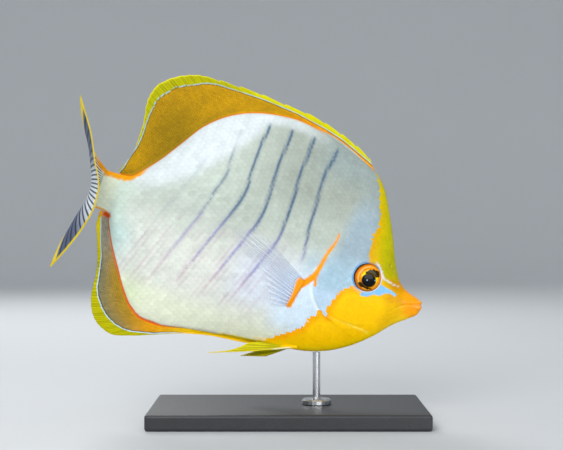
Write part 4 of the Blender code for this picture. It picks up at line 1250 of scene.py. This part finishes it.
def bowl():
    """A flat floor that curves up into a wall all round."""
    bends = np.linspace(0.05, math.pi / 2, WALL_STEPS)
    profile = [(r, 0.0) for r in np.linspace(0, FLOOR_RADIUS, WALL_STEPS)[1:]]
    profile += [(FLOOR_RADIUS + WALL_BEND * math.sin(t), WALL_BEND - WALL_BEND * math.cos(t)) for t in bends]
    profile += [(2.2, 1.4), (2.2, 2.2)]
    points = [(0, 0, 0)]
    points += [(r * math.cos(a), r * math.sin(a), z) for r, z in profile for a in circle(FLOOR_SPOKES)]
    fan = [(0, 1 + k, 1 + (k + 1) % FLOOR_SPOKES) for k in range(FLOOR_SPOKES)]
    walls = ring_faces(len(profile), FLOOR_SPOKES)[:, ::-1] + 1
    mesh = bpy.data.meshes.new("floor")
    mesh.from_pydata(points, [], fan + walls.tolist())
    mesh.shade_smooth()
    paint = Finish("pale floor")
    noise = paint.add("TexNoise", Scale=6).outputs["Fac"]
    shades = paint.ramp(noise, (0, 1), ((0.54, 0.56, 0.58), (0.58, 0.60, 0.62)))
    paint.feed(paint.shader, Base_Color=shades, Roughness=0.7)
    mesh.materials.append(paint.material)
    put("floor", mesh)


bowl()

# Soft lights that face the fish: place, size, power and colour
AIM = np.array((-0.005, 0, 0.09))
LAMPS = {"key": ((-0.35, -0.9, 0.6), 0.6, 7.1, (1, 0.99, 0.97)),
         "fill": ((0.45, -0.9, 0.12), 0.6, 4.7, (0.99, 0.99, 1)),
         "rim": ((-0.3, 0.8, 0.7), 0.5, 5, (1, 1, 1))}
for name, (place, size, power, colour) in LAMPS.items():
    light = bpy.data.lights.new(name, "AREA")
    light.shape = "DISK"
    light.size = size
    light.energy = power
    light.color = colour
    lamp = put(name, light)
    away = np.array(place) - AIM
    lamp.location = place
    lamp.rotation_euler = (math.acos(away[2] / np.linalg.norm(away)), 0, math.atan2(away[0], -away[1]))
    lamp.visible_camera = False

world = bpy.data.worlds.new("pale sky")
world.use_nodes = True
world.node_tree.nodes["Background"].inputs["Color"].default_value = (0.90, 0.93, 0.95, 1)
world.node_tree.nodes["Background"].inputs["Strength"].default_value = 0.86
bpy.context.scene.world = world
bpy.context.scene.view_settings.view_transform = "Standard"

camera_data = bpy.data.cameras.new("camera")
camera_data.lens = 90
camera_data.clip_start = 0.01
camera = put("camera", camera_data)
camera.location = (-0.0029, -0.62, 0.0859)
camera.rotation_euler = (math.pi / 2, 0, 0)
bpy.context.scene.camera = camera
